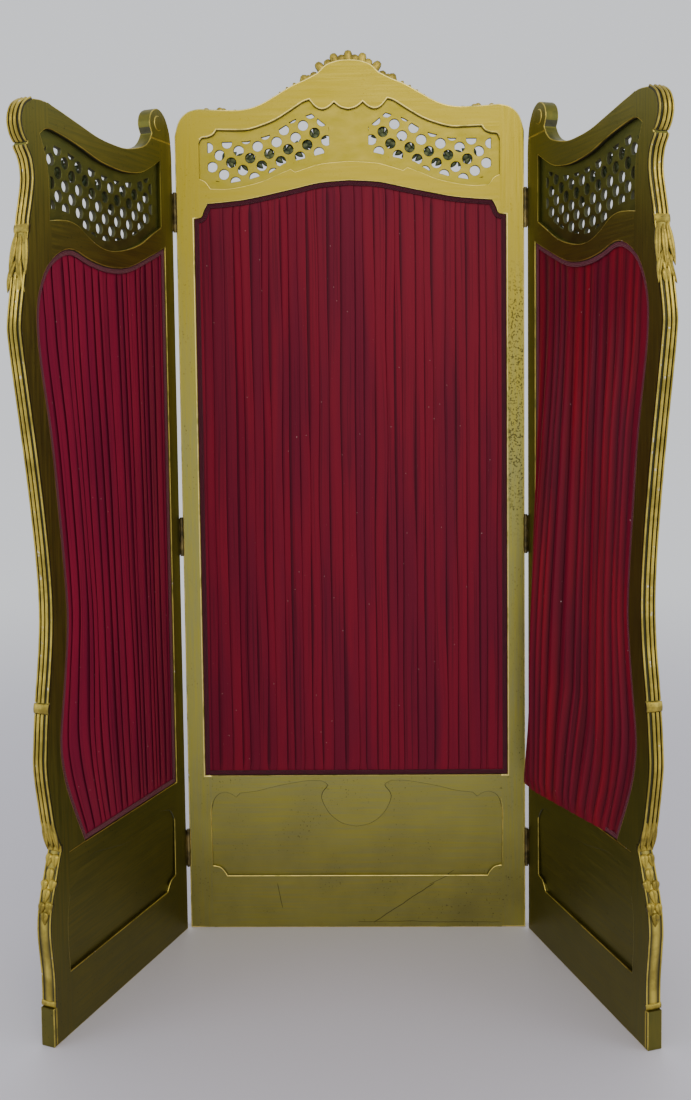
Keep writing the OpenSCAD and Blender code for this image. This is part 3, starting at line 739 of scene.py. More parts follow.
# %% Crimson sateen
def sateen(name, light, deep, root):
    f = Finish(name)
    uv = f.add("ShaderNodeUVMap").outputs["UV"]
    light_and_shade_bands = f.laid(uv, (14, 1.6, 1), 3, 0.5)
    creases = f.laid(uv, (190, 2.2, 1), 4, 0.6)
    slubs = f.laid(uv, (900, 90, 1), 2, 0.5)
    cross = f.laid(uv, (60, 1100, 1), 2, 0.5)
    fold = f.stored("fold")
    # painted light and shade: broad bands between the lit and the shaded crimson
    colour = f.mix(f.ramp(light_and_shade_bands, 0.38, 0.62), deep, light)
    # fine creases painted dark as shade, and raised in the bump below
    colour = f.mix(f.times(f.ramp(creases, 0.50, 0.72), 0.55), colour, root)
    colour = f.mix(f.times(f.ramp(slubs, 0.5, 0.8), 0.22), colour, deep)
    # painted shade, deepest at the roots of the folds
    colour = f.mix(f.times(fold, 0.74), colour, root)
    lint = f.laid(uv, (330, 220, 1), 0, 0.5)
    colour = f.mix(f.times(f.ramp(lint, 0.885, 0.90), 0.75), colour, (0.62, 0.48, 0.46, 1))
    f.set(Base_Color=colour, Roughness=f.plus(f.times(creases, 0.25), 0.40))
    f.set(Sheen_Weight=0.07, Sheen_Roughness=0.45, Sheen_Tint=(0.9, 0.22, 0.38, 1))
    f.set(Specular_IOR_Level=0.14)
    relief = f.plus(f.times(creases, 1.0), f.times(slubs, 0.18))
    relief = f.plus(relief, f.times(cross, 0.12))
    f.set(Normal=f.bump(relief, 0.30, 0.0012))
    return f.material


# for each leaf: the lit crimson, the shaded crimson of the painted bands, and the painted shade of the fold
# roots
CRIMSON = {
    "centre_panel": sateen("crimson_centre", (0.192, 0.005, 0.021, 1), (0.138, 0.004, 0.021, 1),
                           (0.036, 0.003, 0.011, 1)),
    "left_wing": sateen("crimson_left", (0.240, 0.009, 0.034, 1), (0.180, 0.007, 0.031, 1),
                        (0.055, 0.003, 0.013, 1)),
    "right_wing": sateen("crimson_right", (0.215, 0.004, 0.014, 1), (0.140, 0.004, 0.018, 1),
                         (0.030, 0.002, 0.007, 1))}
print("cloth finishes ready")

# %% [markdown]
# Hanging the cloth. Every column of the fold pattern runs from a point on the bottom edge to a
# point on the shaped top edge, and the columns next to the serpentine side bend to follow it. The
# folds wander a little on the way, lie flat where the braid holds them, and are deepest in the
# middle. The right wing's cloth has come loose low down beside the hinge and bellies forward.

# %% Gathered cloth
CLOTH_BACK = -5.5 * MM
CLOTH_LIFT = 4.3 * MM
CLOTH_ROWS = 112


def over_opening(leaf, U, V):
    """Carries shares of a square onto the opening: across and up, the top line and the bottom."""
    left, right, low, side_line, top_line = four_sides(CLOTH[leaf])
    top_x = top_line[0, 0] + (top_line[-1, 0] - top_line[0, 0]) * U
    top_z = np.interp(top_x, top_line[:, 0], top_line[:, 1])
    z = low + V * (top_z - low)
    x = (left + (right - left) * U) * (1 - V) + top_x * V
    corner = side_line[-1]
    order = np.argsort(side_line[:, 1], kind="stable")
    edge = np.interp(z, side_line[order, 1], side_line[order, 0])
    plain = right + (corner[0] - right) * ((z - low) / (corner[1] - low)).clip(0, 1)
    return x + U ** 4 * (edge - plain), z, top_z, low


def hang(leaf, seed, extra=0.0, belly=None):
    """Gathers a cloth into its opening; returns the piece and the flat size of its cut."""
    left, right = four_sides(CLOTH[leaf])[:2]
    width = right - left
    table = folds(*FOLDS[leaf], width, seed)
    u = table[:, 0] / width
    v = np.linspace(0, 1, CLOTH_ROWS)
    v = v - 0.035 * np.sin(2 * np.pi * v)
    U, V = np.meshgrid(u, v, indexing="ij")
    x, z, top_z, low = over_opening(leaf, U, V)
    margin = np.minimum.reduce([U * width, (1 - U) * width, (z - low), top_z - z])
    loose = eased((margin / 0.030).clip(0, 1))
    drift = np.stack([wander(seed + 7, z[k] + 3.7 * table[k, 3], 0.23) for k in range(len(u))])
    x = x + (0.0011 if extra else 0.0026) * drift * loose
    breathe = np.stack([wander(seed + 9, z[k] + 9.1 * table[k, 3], 0.31) for k in range(len(u))])
    near = table[:, 1][:, None] * (0.88 + 0.12 * breathe)
    near = 0.62 + (near - 0.62) * (0.42 + 0.58 * loose)
    y = CLOTH_BACK - CLOTH_LIFT * near
    if extra:
        deep = ((1.30 - z) / 0.25).clip(0.0, 1) * loose
        quiet = 1 - 0.75 * ((z - 1.20) / 0.12).clip(0, 1) * (U * 2 - 0.5).clip(0, 1)
        y = CLOTH_BACK - CLOTH_LIFT * (0.62 + (near - 0.62) * quiet) - extra * deep * near
    if belly:
        y = y - belly(x, z)
    places = flat_to_row(leaf, np.stack([x, y, z], axis=2)).reshape(len(u), CLOTH_ROWS, 3)
    gone = np.r_[0, np.hypot(np.diff(table[:, 0]), np.diff(table[:, 1]) * CLOTH_LIFT).cumsum()]
    lengths = np.stack(np.meshgrid(gone, v * 1.2, indexing="ij"), axis=2)
    # painted shade of the folds, weaker near the edges where the cloth lies flat
    shade = np.repeat(table[:, 2][:, None], CLOTH_ROWS, axis=1) * (0.35 + 0.65 * loose)
    piece = bent_grid(PREFIX[leaf] + "gathered_cloth", places, lengths, fold=shade)
    if leaf == "left_wing":
        turn_over(piece)
    only(piece)
    bpy.ops.object.shade_smooth()
    piece.data.materials.append(CRIMSON[leaf])
    width = float(np.percentile(np.linalg.norm(np.diff(places, axis=0), axis=2).sum(0), 50))
    height = float(np.linalg.norm(np.diff(places, axis=1), axis=2).sum(1).max())
    print(piece.name, "cut", round(width, 3), "x", round(height, 3), "faces", len(piece.data.polygons))
    return piece, width, height


def right_belly(x, z):
    """How far the loose cloth of the right wing stands forward, in metres."""
    rise = eased(((x - 0.030) / 0.045).clip(0, 1))
    hem = ((0.56 - z) / 0.22).clip(0, 1)
    edge = 0.013 + 0.020 * hem
    fall = ((0.235 + 0.095 * hem - x) / (0.150 + 0.090 * hem)).clip(0, 1)
    fall = eased(fall) * (1 - hem) + fall * hem
    height = eased(((1.30 - z) / 0.75).clip(0, 1))
    return (edge + (0.036 - edge) * rise) * fall * height


HUNG = {
    "centre_panel": hang("centre_panel", seed=3),
    "left_wing": hang("left_wing", seed=11),
    "right_wing": hang("right_wing", seed=23, extra=6.5 * MM, belly=right_belly)}
for leaf, (piece, cut_width, cut_height) in HUNG.items():
    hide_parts(PREFIX[leaf] + "fabric")
    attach(piece, leaf)

# %% [markdown]
# Braid covers the tacks all round the cloth. It is a narrow woven band: a corded edge on both
# sides and a row of looped stitches between. The band is one strip with a rounded section that
# follows the opening. The stitches are in the finish, counted along the strip's own length.

# %% Braid finish
def braid_finish(name, light, deep):
    f = Finish(name)
    uv = f.add("ShaderNodeUVMap").outputs["UV"]
    split = f.add("ShaderNodeSeparateXYZ", Vector=uv)
    along, across_it = split.outputs[0], split.outputs[1]
    slant = f.plus(along, f.times(across_it, 0.6))
    loops = f.math("SINE", f.times(slant, 2 * math.pi / 0.0034))
    cords = f.math("SINE", f.times(across_it, 2 * math.pi / 0.0030))
    height = f.times(f.plus(loops, 1.0), f.plus(cords, 1.3))
    worn = f.laid(uv, (40, 80, 1), 3, 0.6)
    colour = f.mix(f.ramp(height, 0.5, 3.4), deep, light)
    colour = f.mix(f.times(f.ramp(worn, 0.5, 0.72), 0.5), colour, deep)
    f.set(Base_Color=colour, Roughness=0.75, Sheen_Weight=0.08, Specular_IOR_Level=0.25)
    f.set(Normal=f.bump(height, 0.7, 0.0010))
    return f.material


BRAID = {"centre_panel": braid_finish("braid_centre", (0.16, 0.014, 0.035, 1), (0.05, 0.004, 0.014, 1)),
         "left_wing": braid_finish("braid_left", (0.26, 0.055, 0.075, 1), (0.09, 0.012, 0.022, 1)),
         "right_wing": braid_finish("braid_right", (0.27, 0.045, 0.075, 1), (0.10, 0.010, 0.024, 1))}
print("braid ready")

# %% [markdown]
# The strip follows the opening's outline, set in by the braid's width. It could be a curve with a
# section swept along it, but a bent grid mitres the corners and keeps one count of stitches.

# %% Braid strips
BRAID_W = 9 * MM
BRAID_AT = -10 * MM
BRAID_THICK = 1.6 * MM
# across the braid (share of its width) and height above the cloth (share of its thickness)
BRAID_SECTION = [(0, -0.35), (0.03, 0.45), (0.12, 0.85), (0.22, 0.70), (0.30, 0.45), (0.40, 0.75),
                 (0.50, 0.85), (0.60, 0.75), (0.70, 0.45), (0.78, 0.70), (0.88, 0.85), (0.97, 0.45),
                 (1, -0.35)]


def inward(line):
    """Unit normals of a closed anticlockwise line, pointing in, mitred at the corners."""
    before = line - np.roll(line, 1, axis=0)
    after = np.roll(line, -1, axis=0) - line
    before /= np.linalg.norm(before, axis=1)[:, None]
    after /= np.linalg.norm(after, axis=1)[:, None]
    mitre = np.stack([-(before + after)[:, 1], (before + after)[:, 0]], axis=1)
    return 2 * mitre / (mitre ** 2).sum(1).clip(1.0)[:, None]


def braid_round(leaf):
    """One band of braid all round an opening, over the edge of the cloth."""
    outline = CLOTH[leaf]
    corners = resampled(np.vstack([outline, outline[:1]]), 5 * MM)[:-1]
    normals = inward(corners)
    for _ in range(2):
        normals = (np.roll(normals, 1, axis=0) + 2 * normals + np.roll(normals, -1, axis=0)) / 4
    rows = np.array(BRAID_SECTION)
    tack = 1 + 0.05 * wander(5, np.arange(len(corners)), 3)
    loop = np.vstack([corners, corners[:1]])
    normals = np.vstack([normals, normals[:1]])
    tack = np.r_[tack, tack[0]]
    flat = loop[:, None] + normals[:, None] * (0.0002 + rows[:, 0] * BRAID_W)[None, :, None]
    depth = BRAID_AT - BRAID_THICK * rows[:, 1][None] * tack[:, None]
    places = np.stack([flat[..., 0], depth, flat[..., 1]], axis=2)
    places = flat_to_row(leaf, places).reshape(len(loop), len(rows), 3)
    braid = bent_grid(PREFIX[leaf] + "braid", places, merge=True)
    only(braid)
    bpy.ops.object.shade_smooth()
    braid.data.materials.append(BRAID[leaf])
    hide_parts(PREFIX[leaf] + "gimp")
    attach(braid, leaf)
    return braid


BRAIDS = {leaf: braid_round(leaf) for leaf in LEAVES}
for leaf, (piece, cut_width, cut_height) in HUNG.items():
    if leaf == "right_wing":
        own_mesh(piece)
print("braids:", [b.name for b in BRAIDS.values()])

# %% [markdown]
# The outer face has a plain cotton lining, one flat layer stretched and tacked in the same kind of
# rebate. It is a fine grid that follows the opening, with faint tension ripples by the edges.

# %% Lining
def cotton():
    f = Finish("cotton_lining")
    uv = f.add("ShaderNodeUVMap").outputs["UV"]
    warp = f.laid(uv, (1300, 60, 1), 2, 0.5)
    weft = f.laid(uv, (60, 1300, 1), 2, 0.5)
    stains = f.laid(uv, (4, 3, 1), 4, 0.6)
    colour = f.mix(f.ramp(stains, 0.35, 0.7), (0.150, 0.007, 0.016, 1), (0.095, 0.006, 0.014, 1))
    threads = f.plus(warp, weft)
    colour = f.mix(f.times(f.ramp(threads, 0.9, 1.3), 0.4), colour, (0.050, 0.004, 0.008, 1))
    tide = f.math("ABSOLUTE", f.plus(stains, -0.56))
    colour = f.mix(f.times(f.ramp(tide, 0.012, 0.002), 0.45), colour, (0.060, 0.006, 0.010, 1))
    f.set(Base_Color=colour, Roughness=0.88, Sheen_Weight=0.03, Specular_IOR_Level=0.12)
    f.set(Normal=f.bump(threads, 0.4, 0.0004))
    return f.material


COTTON = cotton()
LINING_BACK = 6 * MM


def line_back(leaf, columns=40, rows=70):
    """Stretches a flat lining over the back of the same opening."""
    left, right = four_sides(CLOTH[leaf])[:2]
    U, V = np.meshgrid(np.linspace(0, 1, columns), np.linspace(0, 1, rows), indexing="ij")
    x, z = over_opening(leaf, U, V)[:2]
    margin = np.minimum.reduce([U, 1 - U, V, 1 - V]) * 0.5
    ripple = np.stack([wander(31, z[k] + 5 * U[k], 0.03) for k in range(columns)])
    y = LINING_BACK + 0.0007 * ripple * np.exp(-margin / 0.03)
    places = flat_to_row(leaf, np.stack([x, y, z], axis=2)).reshape(columns, rows, 3)
    lengths = np.stack([U * (right - left), V * 1.2], axis=2)
    lining = bent_grid(PREFIX[leaf] + "lining_cloth", places, lengths)
    if leaf != "left_wing":
        turn_over(lining)
    only(lining)
    bpy.ops.object.shade_smooth()
    lining.data.materials.append(COTTON)
    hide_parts(PREFIX[leaf] + "lining")
    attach(lining, leaf)


for leaf in LEAVES:
    line_back(leaf)

# %% [markdown]
# The pierced boards keep the CAD model's holes. The rim of every hole is broken a little, as a
# scraper leaves it, and the walls of the holes and the edges of both boards are painted dark as
# shade. The field boards below keep their flat faces and are painted along the grain, as the rails are.

# %% Pierced boards and field boards
for leaf in LEAVES:
    for part, width in (("pierced_board", 0.5 * MM), ("field_board", 0)):
        board = copy_of(PREFIX[leaf] + part, PREFIX[leaf] + part + "_wood")
        painted(board, PAINT[leaf, "sunk" if width else "across"], HOLLOW_SHADE_AND_DUST)
        for face in board.data.polygons:
            # the walls of the holes and the board edges get the hollow finish: painted shade
            if abs(face.normal.dot(depth_of(leaf))) < 0.5:
                face.material_index = 1
        if width:
            flat = row_to_flat(leaf, points_of(board))
            ends = np.array([e.vertices[:] for e in board.data.edges])
            front = abs(flat[ends][:, :, 1] - flat[:, 1].min()) < 0.0003
            bevel_edges(board, sharp_edges(board) & front.all(1), width, 1, 0)
        only(board)
        bpy.ops.object.shade_flat()
        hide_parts(PREFIX[leaf] + part)
        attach(board, leaf)
        print(board.name, "faces", len(board.data.polygons))

# %% [markdown]
# The wings' outer edges are serpentine, and everything carved on them has to follow that line. The
# line could be drawn again, but then it would drift from the wood. Instead it is felt for with a
# ray from outside, height by height, on the CAD stile.

# %% The line of the serpentine edge
def feeler(node):
    """The node's surface as a tree that rays can be cast at, even while the node is hidden."""
    mesh = NODES[node].data
    return BVHTree.FromPolygons([v.co for v in mesh.vertices], [f.vertices[:] for f in mesh.polygons])


STILES = {side: feeler(side + "_outer_stile") for side in ("left", "right")}


def edge_at(side, heights):
    """How far across the outer edge of a wing lies at each height."""
    leaf = side + "_wing"
    found = []
    for z in heights:
        start, inner = (Vector(p) for p in flat_to_row(leaf, [(0.6, 0, z), (0.5, 0, z)]))
        place = STILES[side].ray_cast(start, (inner - start).normalized())[0]
        found.append(row_to_flat(leaf, [place])[0][0] if place else np.nan)
    found = np.array(found)
    good = ~np.isnan(found)
    return np.interp(heights, np.array(heights)[good], found[good])


def edge_path(side, low, high, step):
    """The edge between two heights as (across, up) points at even steps."""
    heights = np.linspace(low, high, 160)
    return resampled(np.stack([edge_at(side, heights), heights], axis=1), step)


print("edges felt:", list(STILES))

# %% [markdown]
# A strip of reeding runs down each serpentine edge: a thin bead on the inner corner, a hollow, and
# fuller beads behind it. It was run with a scratch stock, so the section is constant, and it dies
# away at both ends of each length. So one section is drawn and bent along the edge's line.

# %% Reeded moulding
def bead(middle, foot, wide, tall, count):
    """A round bead of a section, from one foot over the top to the other."""
    return [(middle + wide * math.sin(a), foot + tall * math.cos(a)) for a in np.linspace(-1.5, 1.5, count)]


# depth across the edge (mm, -14 is the inner face) and height of the section above the wood (mm)
REEDS = ([(-14.0, -1.5), (-14.0, 1.2)] + bead(-12.3, 2.6, 1.7, 1.9, 8)
         + [(-10.2, 1.0), (-9.0, 0.5), (-7.4, 0.4), (-5.9, 1.0)] + bead(-2.6, 1.9, 3.0, 3.0, 10)
         + [(0.7, 0.6), (2.1, 0.6)] + bead(5.4, 1.9, 3.0, 3.0, 10)
         + [(9.2, 1.0), (10.2, 0.6)] + bead(12.3, 2.4, 1.7, 1.7, 8) + [(14.0, -1.5)])
COVE = ([(-14.0, -1.5), (-14.0, 1.0)] + bead(-12.6, 1.6, 1.4, 1.4, 7)
        + [(-10.5, 1.0), (-6, 1.6), (0, 2.2), (6, 1.6), (10.5, 1.0)]
        + bead(12.6, 1.6, 1.4, 1.4, 7) + [(14.0, -1.5)])
# from and to height in metres, step in mm, section, and share of its full height at both ends
LENGTHS = ((1.5455, 1.6165, 4, REEDS, (0.5, 1.0)), (1.408, 1.540, 5, REEDS, (0.8, 0.55)),
           (0.603, 1.330, 5, REEDS, (0.9, 0.7)), (0.341, 0.584, 5, REEDS, (0.4, 0.9)),
           (0.070, 0.338, 5, COVE, (0.8, 0.8)), (1.328, 1.410, 5, COVE, (1, 1)))


def reeding_finish(leaf):
    """Bright beads and dark hollows, with chips down to the gesso on the inner bead."""
    f = Finish(f"reeding_{PREFIX[leaf]}gold")
    uv = f.add("ShaderNodeUVMap").outputs["UV"]
    rise = f.stored("fold")
    patches = f.noise(f.leaf_space(leaf), 20, 4, 0.65)
    chips = f.noise(f.leaf_space(leaf), 85, 3, 0.62)
    drawn = f.laid(uv, (9, 900, 1), 3, 0.6)
    gold = f.mix(f.ramp(patches, 0.36, 0.64), (0.34, 0.26, 0.035, 1), (0.66, 0.51, 0.085, 1))
    gold = f.mix(f.times(f.ramp(drawn, 0.45, 0.7), 0.45), gold, (0.20, 0.16, 0.04, 1))
    colour = f.mix(f.ramp(rise, 0.72, 0.34), gold, (0.045, 0.042, 0.014, 1))
    bare = f.times(f.ramp(chips, 0.63, 0.66), f.ramp(rise, 0.75, 0.95))
    colour = f.mix(f.times(bare, f.ramp(patches, 0.44, 0.56)), colour, GESSO)
    f.set(Base_Color=colour, Metallic=0.7, Roughness=f.plus(f.times(drawn, 0.2), 0.24))
    f.set(Normal=f.bump(f.plus(drawn, chips), 0.25, 0.0005))
    return f.material


REEDING = {leaf: reeding_finish(leaf) for leaf in ("left_wing", "right_wing")}


def run_moulding(side, path, section, ends, die=0.016):
    """Bends a section along a line of (across, up) points of a wing's edge."""
    leaf = side + "_wing"
    tangent = np.gradient(path, axis=0)
    tangent /= np.linalg.norm(tangent, axis=1)[:, None]
    out = np.stack([tangent[:, 1], -tangent[:, 0]], axis=1)
    gone = np.r_[0, np.linalg.norm(np.diff(path, axis=0), axis=1).cumsum()]
    first, last = (gone / die).clip(0, 1), ((gone[-1] - gone) / die).clip(0, 1)
    swell = (ends[0] + (1 - ends[0]) * np.sqrt(first)) * (ends[1] + (1 - ends[1]) * np.sqrt(last))
    rows = np.array(section + section[:1]) * MM
    lift = np.where(rows[:, 1] > 0, rows[:, 1][None] * swell[:, None], rows[:, 1][None])
    flat = path[:, None] + out[:, None] * lift[..., None]
    places = np.stack([flat[..., 0], np.repeat(rows[:, 0][None], len(path), 0), flat[..., 1]], axis=2)
    places = flat_to_row(leaf, places).reshape(len(path), len(rows), 3)
    rise = np.repeat((rows[:, 1] / rows[:, 1].max()).clip(0, 1)[None], len(path), axis=0)
    strip = bent_grid("moulding", places, fold=rise, merge=True, caps=True)
    only(strip)
    bpy.ops.object.shade_smooth_by_angle(angle=math.radians(50))
    strip.data.materials.append(REEDING[leaf])
    return strip


def joined(parts, name):
    """Joins separately carved parts into one piece."""
    bpy.ops.object.select_all(action="DESELECT")
    for part in parts:
        part.select_set(True)
    bpy.context.view_layer.objects.active = parts[0]
    bpy.ops.object.join()
    parts[0].name = name
    return parts[0]


for side in ("left", "right"):
    run = [run_moulding(side, edge_path(side, low, high, step * MM), section, ends)
           for low, high, step, section, ends in LENGTHS]
    moulding = joined(run, side + "_reeded_edge")
    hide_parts(side + "_edge_moulding")
    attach(moulding, side + "_wing")
    print(moulding.name, "faces", len(moulding.data.polygons))

# %% [markdown]
# All the carving is made of one kind of leaf, used long, short, curled or round: a blade with a
# rounded back, a pressed-in middle vein and finer veins beside it, narrowed to a tip. It starts as
# a sphere. Its points are then moved straight to the leaf's shape: drawn out along it, narrowed to
# the outline, and pulled in along the veins.

# %% One carved leaf
def carved_leaf(name, at, along, out, length, width, thick, widest=0.37, curl=0.0, veins=2, twist=0.0,
                blunt=0.8):
    """A leaf that starts at a point, runs along one direction and stands out in another."""
    bpy.ops.object.select_all(action="DESELECT")
    bpy.ops.mesh.primitive_uv_sphere_add(segments=20, ring_count=12, radius=1)
    blade = bpy.context.object
    blade.name = name
    p = points_of(blade)
    t = (p[:, 2] + 1) / 2
    body = np.sqrt(1 - p[:, 2] ** 2).clip(1e-6)
    side_way, out_way = p[:, 0] / body, p[:, 1] / body
    outline = np.sin(np.pi * t ** (math.log(0.5) / math.log(widest))).clip(0) ** blunt
    outline[(t < 0.001) | (t > 0.999)] = 0
    half = width / 2 * outline
    groove = 1 - 0.45 * np.exp(-(side_way / 0.22) ** 2) - 0.14 * np.cos(side_way * math.pi * veins) ** 2
    height = thick * np.where(out_way > 0, out_way * groove, out_way * 0.35) * outline ** 0.6
    height = height + curl * (t - 0.35).clip(0) ** 2 * length
    sway = twist * length * np.sin(t * math.pi) * 0.5
    along, out = Vector(along).normalized(), Vector(out).normalized()
    out = (out - along * out.dot(along)).normalized()
    across_it = along.cross(out)
    places = (np.array(at) + np.outer(t * length, along) + np.outer(side_way * half + sway, across_it)
              + np.outer(height, out))
    blade.data.vertices.foreach_set("co", places.astype(np.float32).ravel())
    shade = blade.data.attributes.new("fold", "FLOAT", "POINT")
    shade.data.foreach_set("value", (0.35 + 0.65 * (groove * abs(out_way)).clip(0, 1)).astype(np.float32))
    only(blade)
    bpy.ops.object.mode_set(mode="EDIT")
    bpy.ops.mesh.select_all(action="SELECT")
    bpy.ops.mesh.normals_make_consistent(inside=False)
    bpy.ops.object.mode_set(mode="OBJECT")
    bpy.ops.object.shade_smooth()
    return blade


def carving_finish(leaf, name):
    """Gold on the high places of the carving, dark olive in the hollows."""
    f = Finish(name)
    rise = f.stored("fold")
    patches = f.noise(f.leaf_space(leaf), 34, 4, 0.65)
    chips = f.noise(f.leaf_space(leaf), 150, 3, 0.6)
    dull, bright = (0.25, 0.185, 0.022, 1), (0.50, 0.375, 0.050, 1)
    if "garland" in name:
        dull, bright = (0.020, 0.034, 0.014, 1), (0.060, 0.075, 0.026, 1)
    gold = f.mix(f.ramp(patches, 0.38, 0.62), dull, bright)
    colour = f.mix(f.ramp(rise, 0.80, 0.42), gold, (0.050, 0.042, 0.015, 1))
    colour = f.mix(f.times(f.ramp(chips, 0.64, 0.70), 0.8), colour, (0.10, 0.08, 0.03, 1))
    f.set(Base_Color=colour, Metallic=0.6, Roughness=f.plus(f.times(patches, 0.2), 0.26))
    f.set(Normal=f.bump(chips, 0.35, 0.0006))
    return f.material


CARVED = {leaf: carving_finish(leaf, f"carved_{PREFIX[leaf]}gold") for leaf in LEAVES}
SHADED = {leaf: carving_finish(leaf, f"carved_{PREFIX[leaf]}garland") for leaf in LEAVES}


def finished_carving(parts, name, leaf, nodes):
    """Joins a group of leaves, gilds it and puts it in place of its CAD nodes."""
    piece = joined(parts, name)
    painted(piece, SHADED[leaf] if "garland" in name else CARVED[leaf])
    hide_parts(*nodes)
    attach(piece, leaf)
    print(name, "faces", len(piece.data.polygons))


print("carving finishes:", len(CARVED) + len(SHADED))

# %% [markdown]
# The edge is broken by ribbons with leaves hanging below them: one long spray under the shoulder of
# the curve, a small one at the foot, and a run of buds down to the foot block. Each leaf grows out
# of the edge at a measured height and depth, and a ribbon is a short, swelling length of moulding.

# %% Leaves on the serpentine edge
def on_edge(side, z, depth, lift=0.0):
    """A point on a wing's edge, with the edge's own directions up, out and towards the viewer."""
    leaf = side + "_wing"
    s = edge_at(side, [z - 0.004, z, z + 0.004])
    up = Vector(flat_to_row(leaf, [(s[2], 0, z + 0.004)])[0] - flat_to_row(leaf, [(s[0], 0, z - 0.004)])[0])
    up.normalize()
    origin = Vector(flat_to_row(leaf, [(0, 0, 0)])[0])
    front = Vector(flat_to_row(leaf, [(0, -1, 0)])[0]) - origin
    wide = Vector(flat_to_row(leaf, [(1, 0, 0)])[0]) - origin
    out = (wide - up * wide.dot(up)).normalized()
    at = Vector(flat_to_row(leaf, [(s[1], depth, z)])[0]) + out * lift
    return at, up, out, front


def edge_leaf(side, z, depth, lift, length, width, thick, lean=0.0, **more):
    """A leaf that hangs down a wing's edge; lean turns it towards the viewer."""
    at, up, out, front = on_edge(side, z, depth, lift)
    along = -up + front * lean
    return carved_leaf("leaf", at, along, out, length, width, thick, **more)


def ribbon_round(side, z, height, lift):
    """A band that wraps the whole thickness of the edge, rolled like a ribbon."""
    band = [(-14.4, -3), (-15.6, 0)] + [(-15.2 + 30.4 * t, lift * (0.62 + 0.38 * math.sin(math.pi * t)))
                                        for t in np.linspace(0, 1, 13)] + [(15.6, 0), (14.4, -3)]
    return run_moulding(side, edge_path(side, z - height / 2, z + height / 2, 1.5 * MM), band,
                        (0.5, 0.5), die=height * 0.5)


# height of the middle and width in metres, and how far it stands out in mm
RIBBONS = ((0.5930, 0.017, 7.0), (1.4035, 0.014, 5.5), (0.3405, 0.012, 6.5), (0.0735, 0.010, 5.0))
# height in metres, depth and size in mm
BUDS = ((0.330, -4, 25), (0.330, 7, 24), (0.308, 1, 30), (0.291, -9, 22), (0.289, 9, 22), (0.276, 0, 28),
        (0.256, -7, 22), (0.254, 6, 22), (0.240, 0, 24))
for side in ("left", "right"):
    leaf = side + "_wing"
    sprays = [ribbon_round(side, *ribbon) for ribbon in RIBBONS]
    for depth, drop, lean in ((-8, 0, 0.10), (1, -3, 0.0), (9, 0, -0.12)):
        sprays.append(edge_leaf(side, 1.399 + drop * MM, depth * MM, 0.5 * MM, 0.075, 0.013, 6 * MM,
                                lean=lean, widest=0.42, veins=3, curl=0.03))
    for depth, lean in ((-3, 0.22), (5, -0.25)):
        sprays.append(edge_leaf(side, 1.352, depth * MM, 1.0 * MM, 0.058, 0.011, 6.5 * MM, lean=lean,
                                widest=0.43, twist=0.12))
    sprays.append(edge_leaf(side, 1.322, -2 * MM, 0.5 * MM, 0.030, 0.016, 7 * MM, widest=0.33))
    for depth, lean in ((-8, 0.05), (1, 0), (9, -0.05)):
        sprays.append(edge_leaf(side, 0.392, depth * MM, 0.0, 0.056, 0.012, 6 * MM, lean=lean, widest=0.41))
    for k, (z, depth, size) in enumerate(BUDS):
        sprays.append(edge_leaf(side, z, depth * MM, -1 * MM, size * MM, 0.017, 9 * MM, widest=0.27,
                                lean=0.1 * (-1) ** k, veins=2))
    finished_carving(sprays, side + "_edge_carving", leaf, [side + "_edge_leaves"])

# %% [markdown]
# The crest carries a carved shell on its outer face. Its ribs fan out from a boss and their rounded
# ends stand above the arch, so they show from inside as a row of lobes. Smaller leaves trail down
# both slopes, and two more sprays sit on the shoulders.

# %% Shell on the crest
BACK_WAY = Vector((0, 1, 0))


def fan_leaf(x, z, angle, length, width, thick, **more):
    """A leaf on the outer face; the angle is from upright, in degrees, positive to the right."""
    turn = math.radians(angle)
    along = (math.sin(turn), 0, math.cos(turn))
    return carved_leaf("leaf", (x, BACK, z), along, BACK_WAY, length, width, thick, **more)


CREST = feeler("crest_rail")
hub_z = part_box("crest_shell")[1].z - 0.1085  # the boss that the ribs fan out from


def crest_height(x):
    """Height of the top of the crest at a place across the centre panel."""
    return CREST.ray_cast(Vector((x, 0, 2)), Vector((0, 0, -1)))[0].z


shell = []
for k in (-6, 6, -5, 5, -4, 4, -3, 3, -2, 2, -1, 1, 0):
    x = 0.0118 * k + 0.0008 * k * abs(k) / 3
    z = crest_height(x)
    run = math.hypot(x, z - hub_z)
    stand = (0.0258 if k % 2 == 0 else 0.0190) - 0.0011 * abs(k)
    shell.append(fan_leaf(0, hub_z, math.degrees(math.atan2(x, z - hub_z)), run + stand, 0.0185, 0.0125,
                          widest=0.86, veins=1, blunt=0.36))
for k in (-5, -4, -3, -2, -1, 0, 1, 2, 3, 4, 5):
    shell.append(fan_leaf(0, hub_z - 0.002, 20 * k, 0.062 - 0.003 * abs(k), 0.019, 0.0140, widest=0.72,
                          curl=0.04, blunt=0.5))
shell.append(fan_leaf(0, hub_z - 0.016, 0, 0.034, 0.030, 0.0155, widest=0.5, veins=1))
for way in (-1, 1):
    for k in range(7):
        x = 0.079 + 0.0135 * k
        stand = 0.0155 - 0.0009 * k
        shell.append(fan_leaf(way * (x - 0.012), crest_height(x) - 0.022, way * (24 + 3 * k),
                              0.022 + stand, 0.0145 - 0.0006 * k, 0.0090, widest=0.60, blunt=0.6))
        shell.append(fan_leaf(way * (0.060 + 0.0155 * k), 1.7270 - 0.0090 * k, way * (112 + 3 * k),
                              0.032 - 0.0015 * k, 0.015, 0.0075, widest=0.40))
finished_carving(shell, "crest_shell_carving", "centre_panel", ["crest_shell"])

# %% [markdown]
# Two small sprays lie on the outer face at the shoulders. Only the tips of their upper leaves stand
# above the rail, and two longer leaves trail towards the shell.

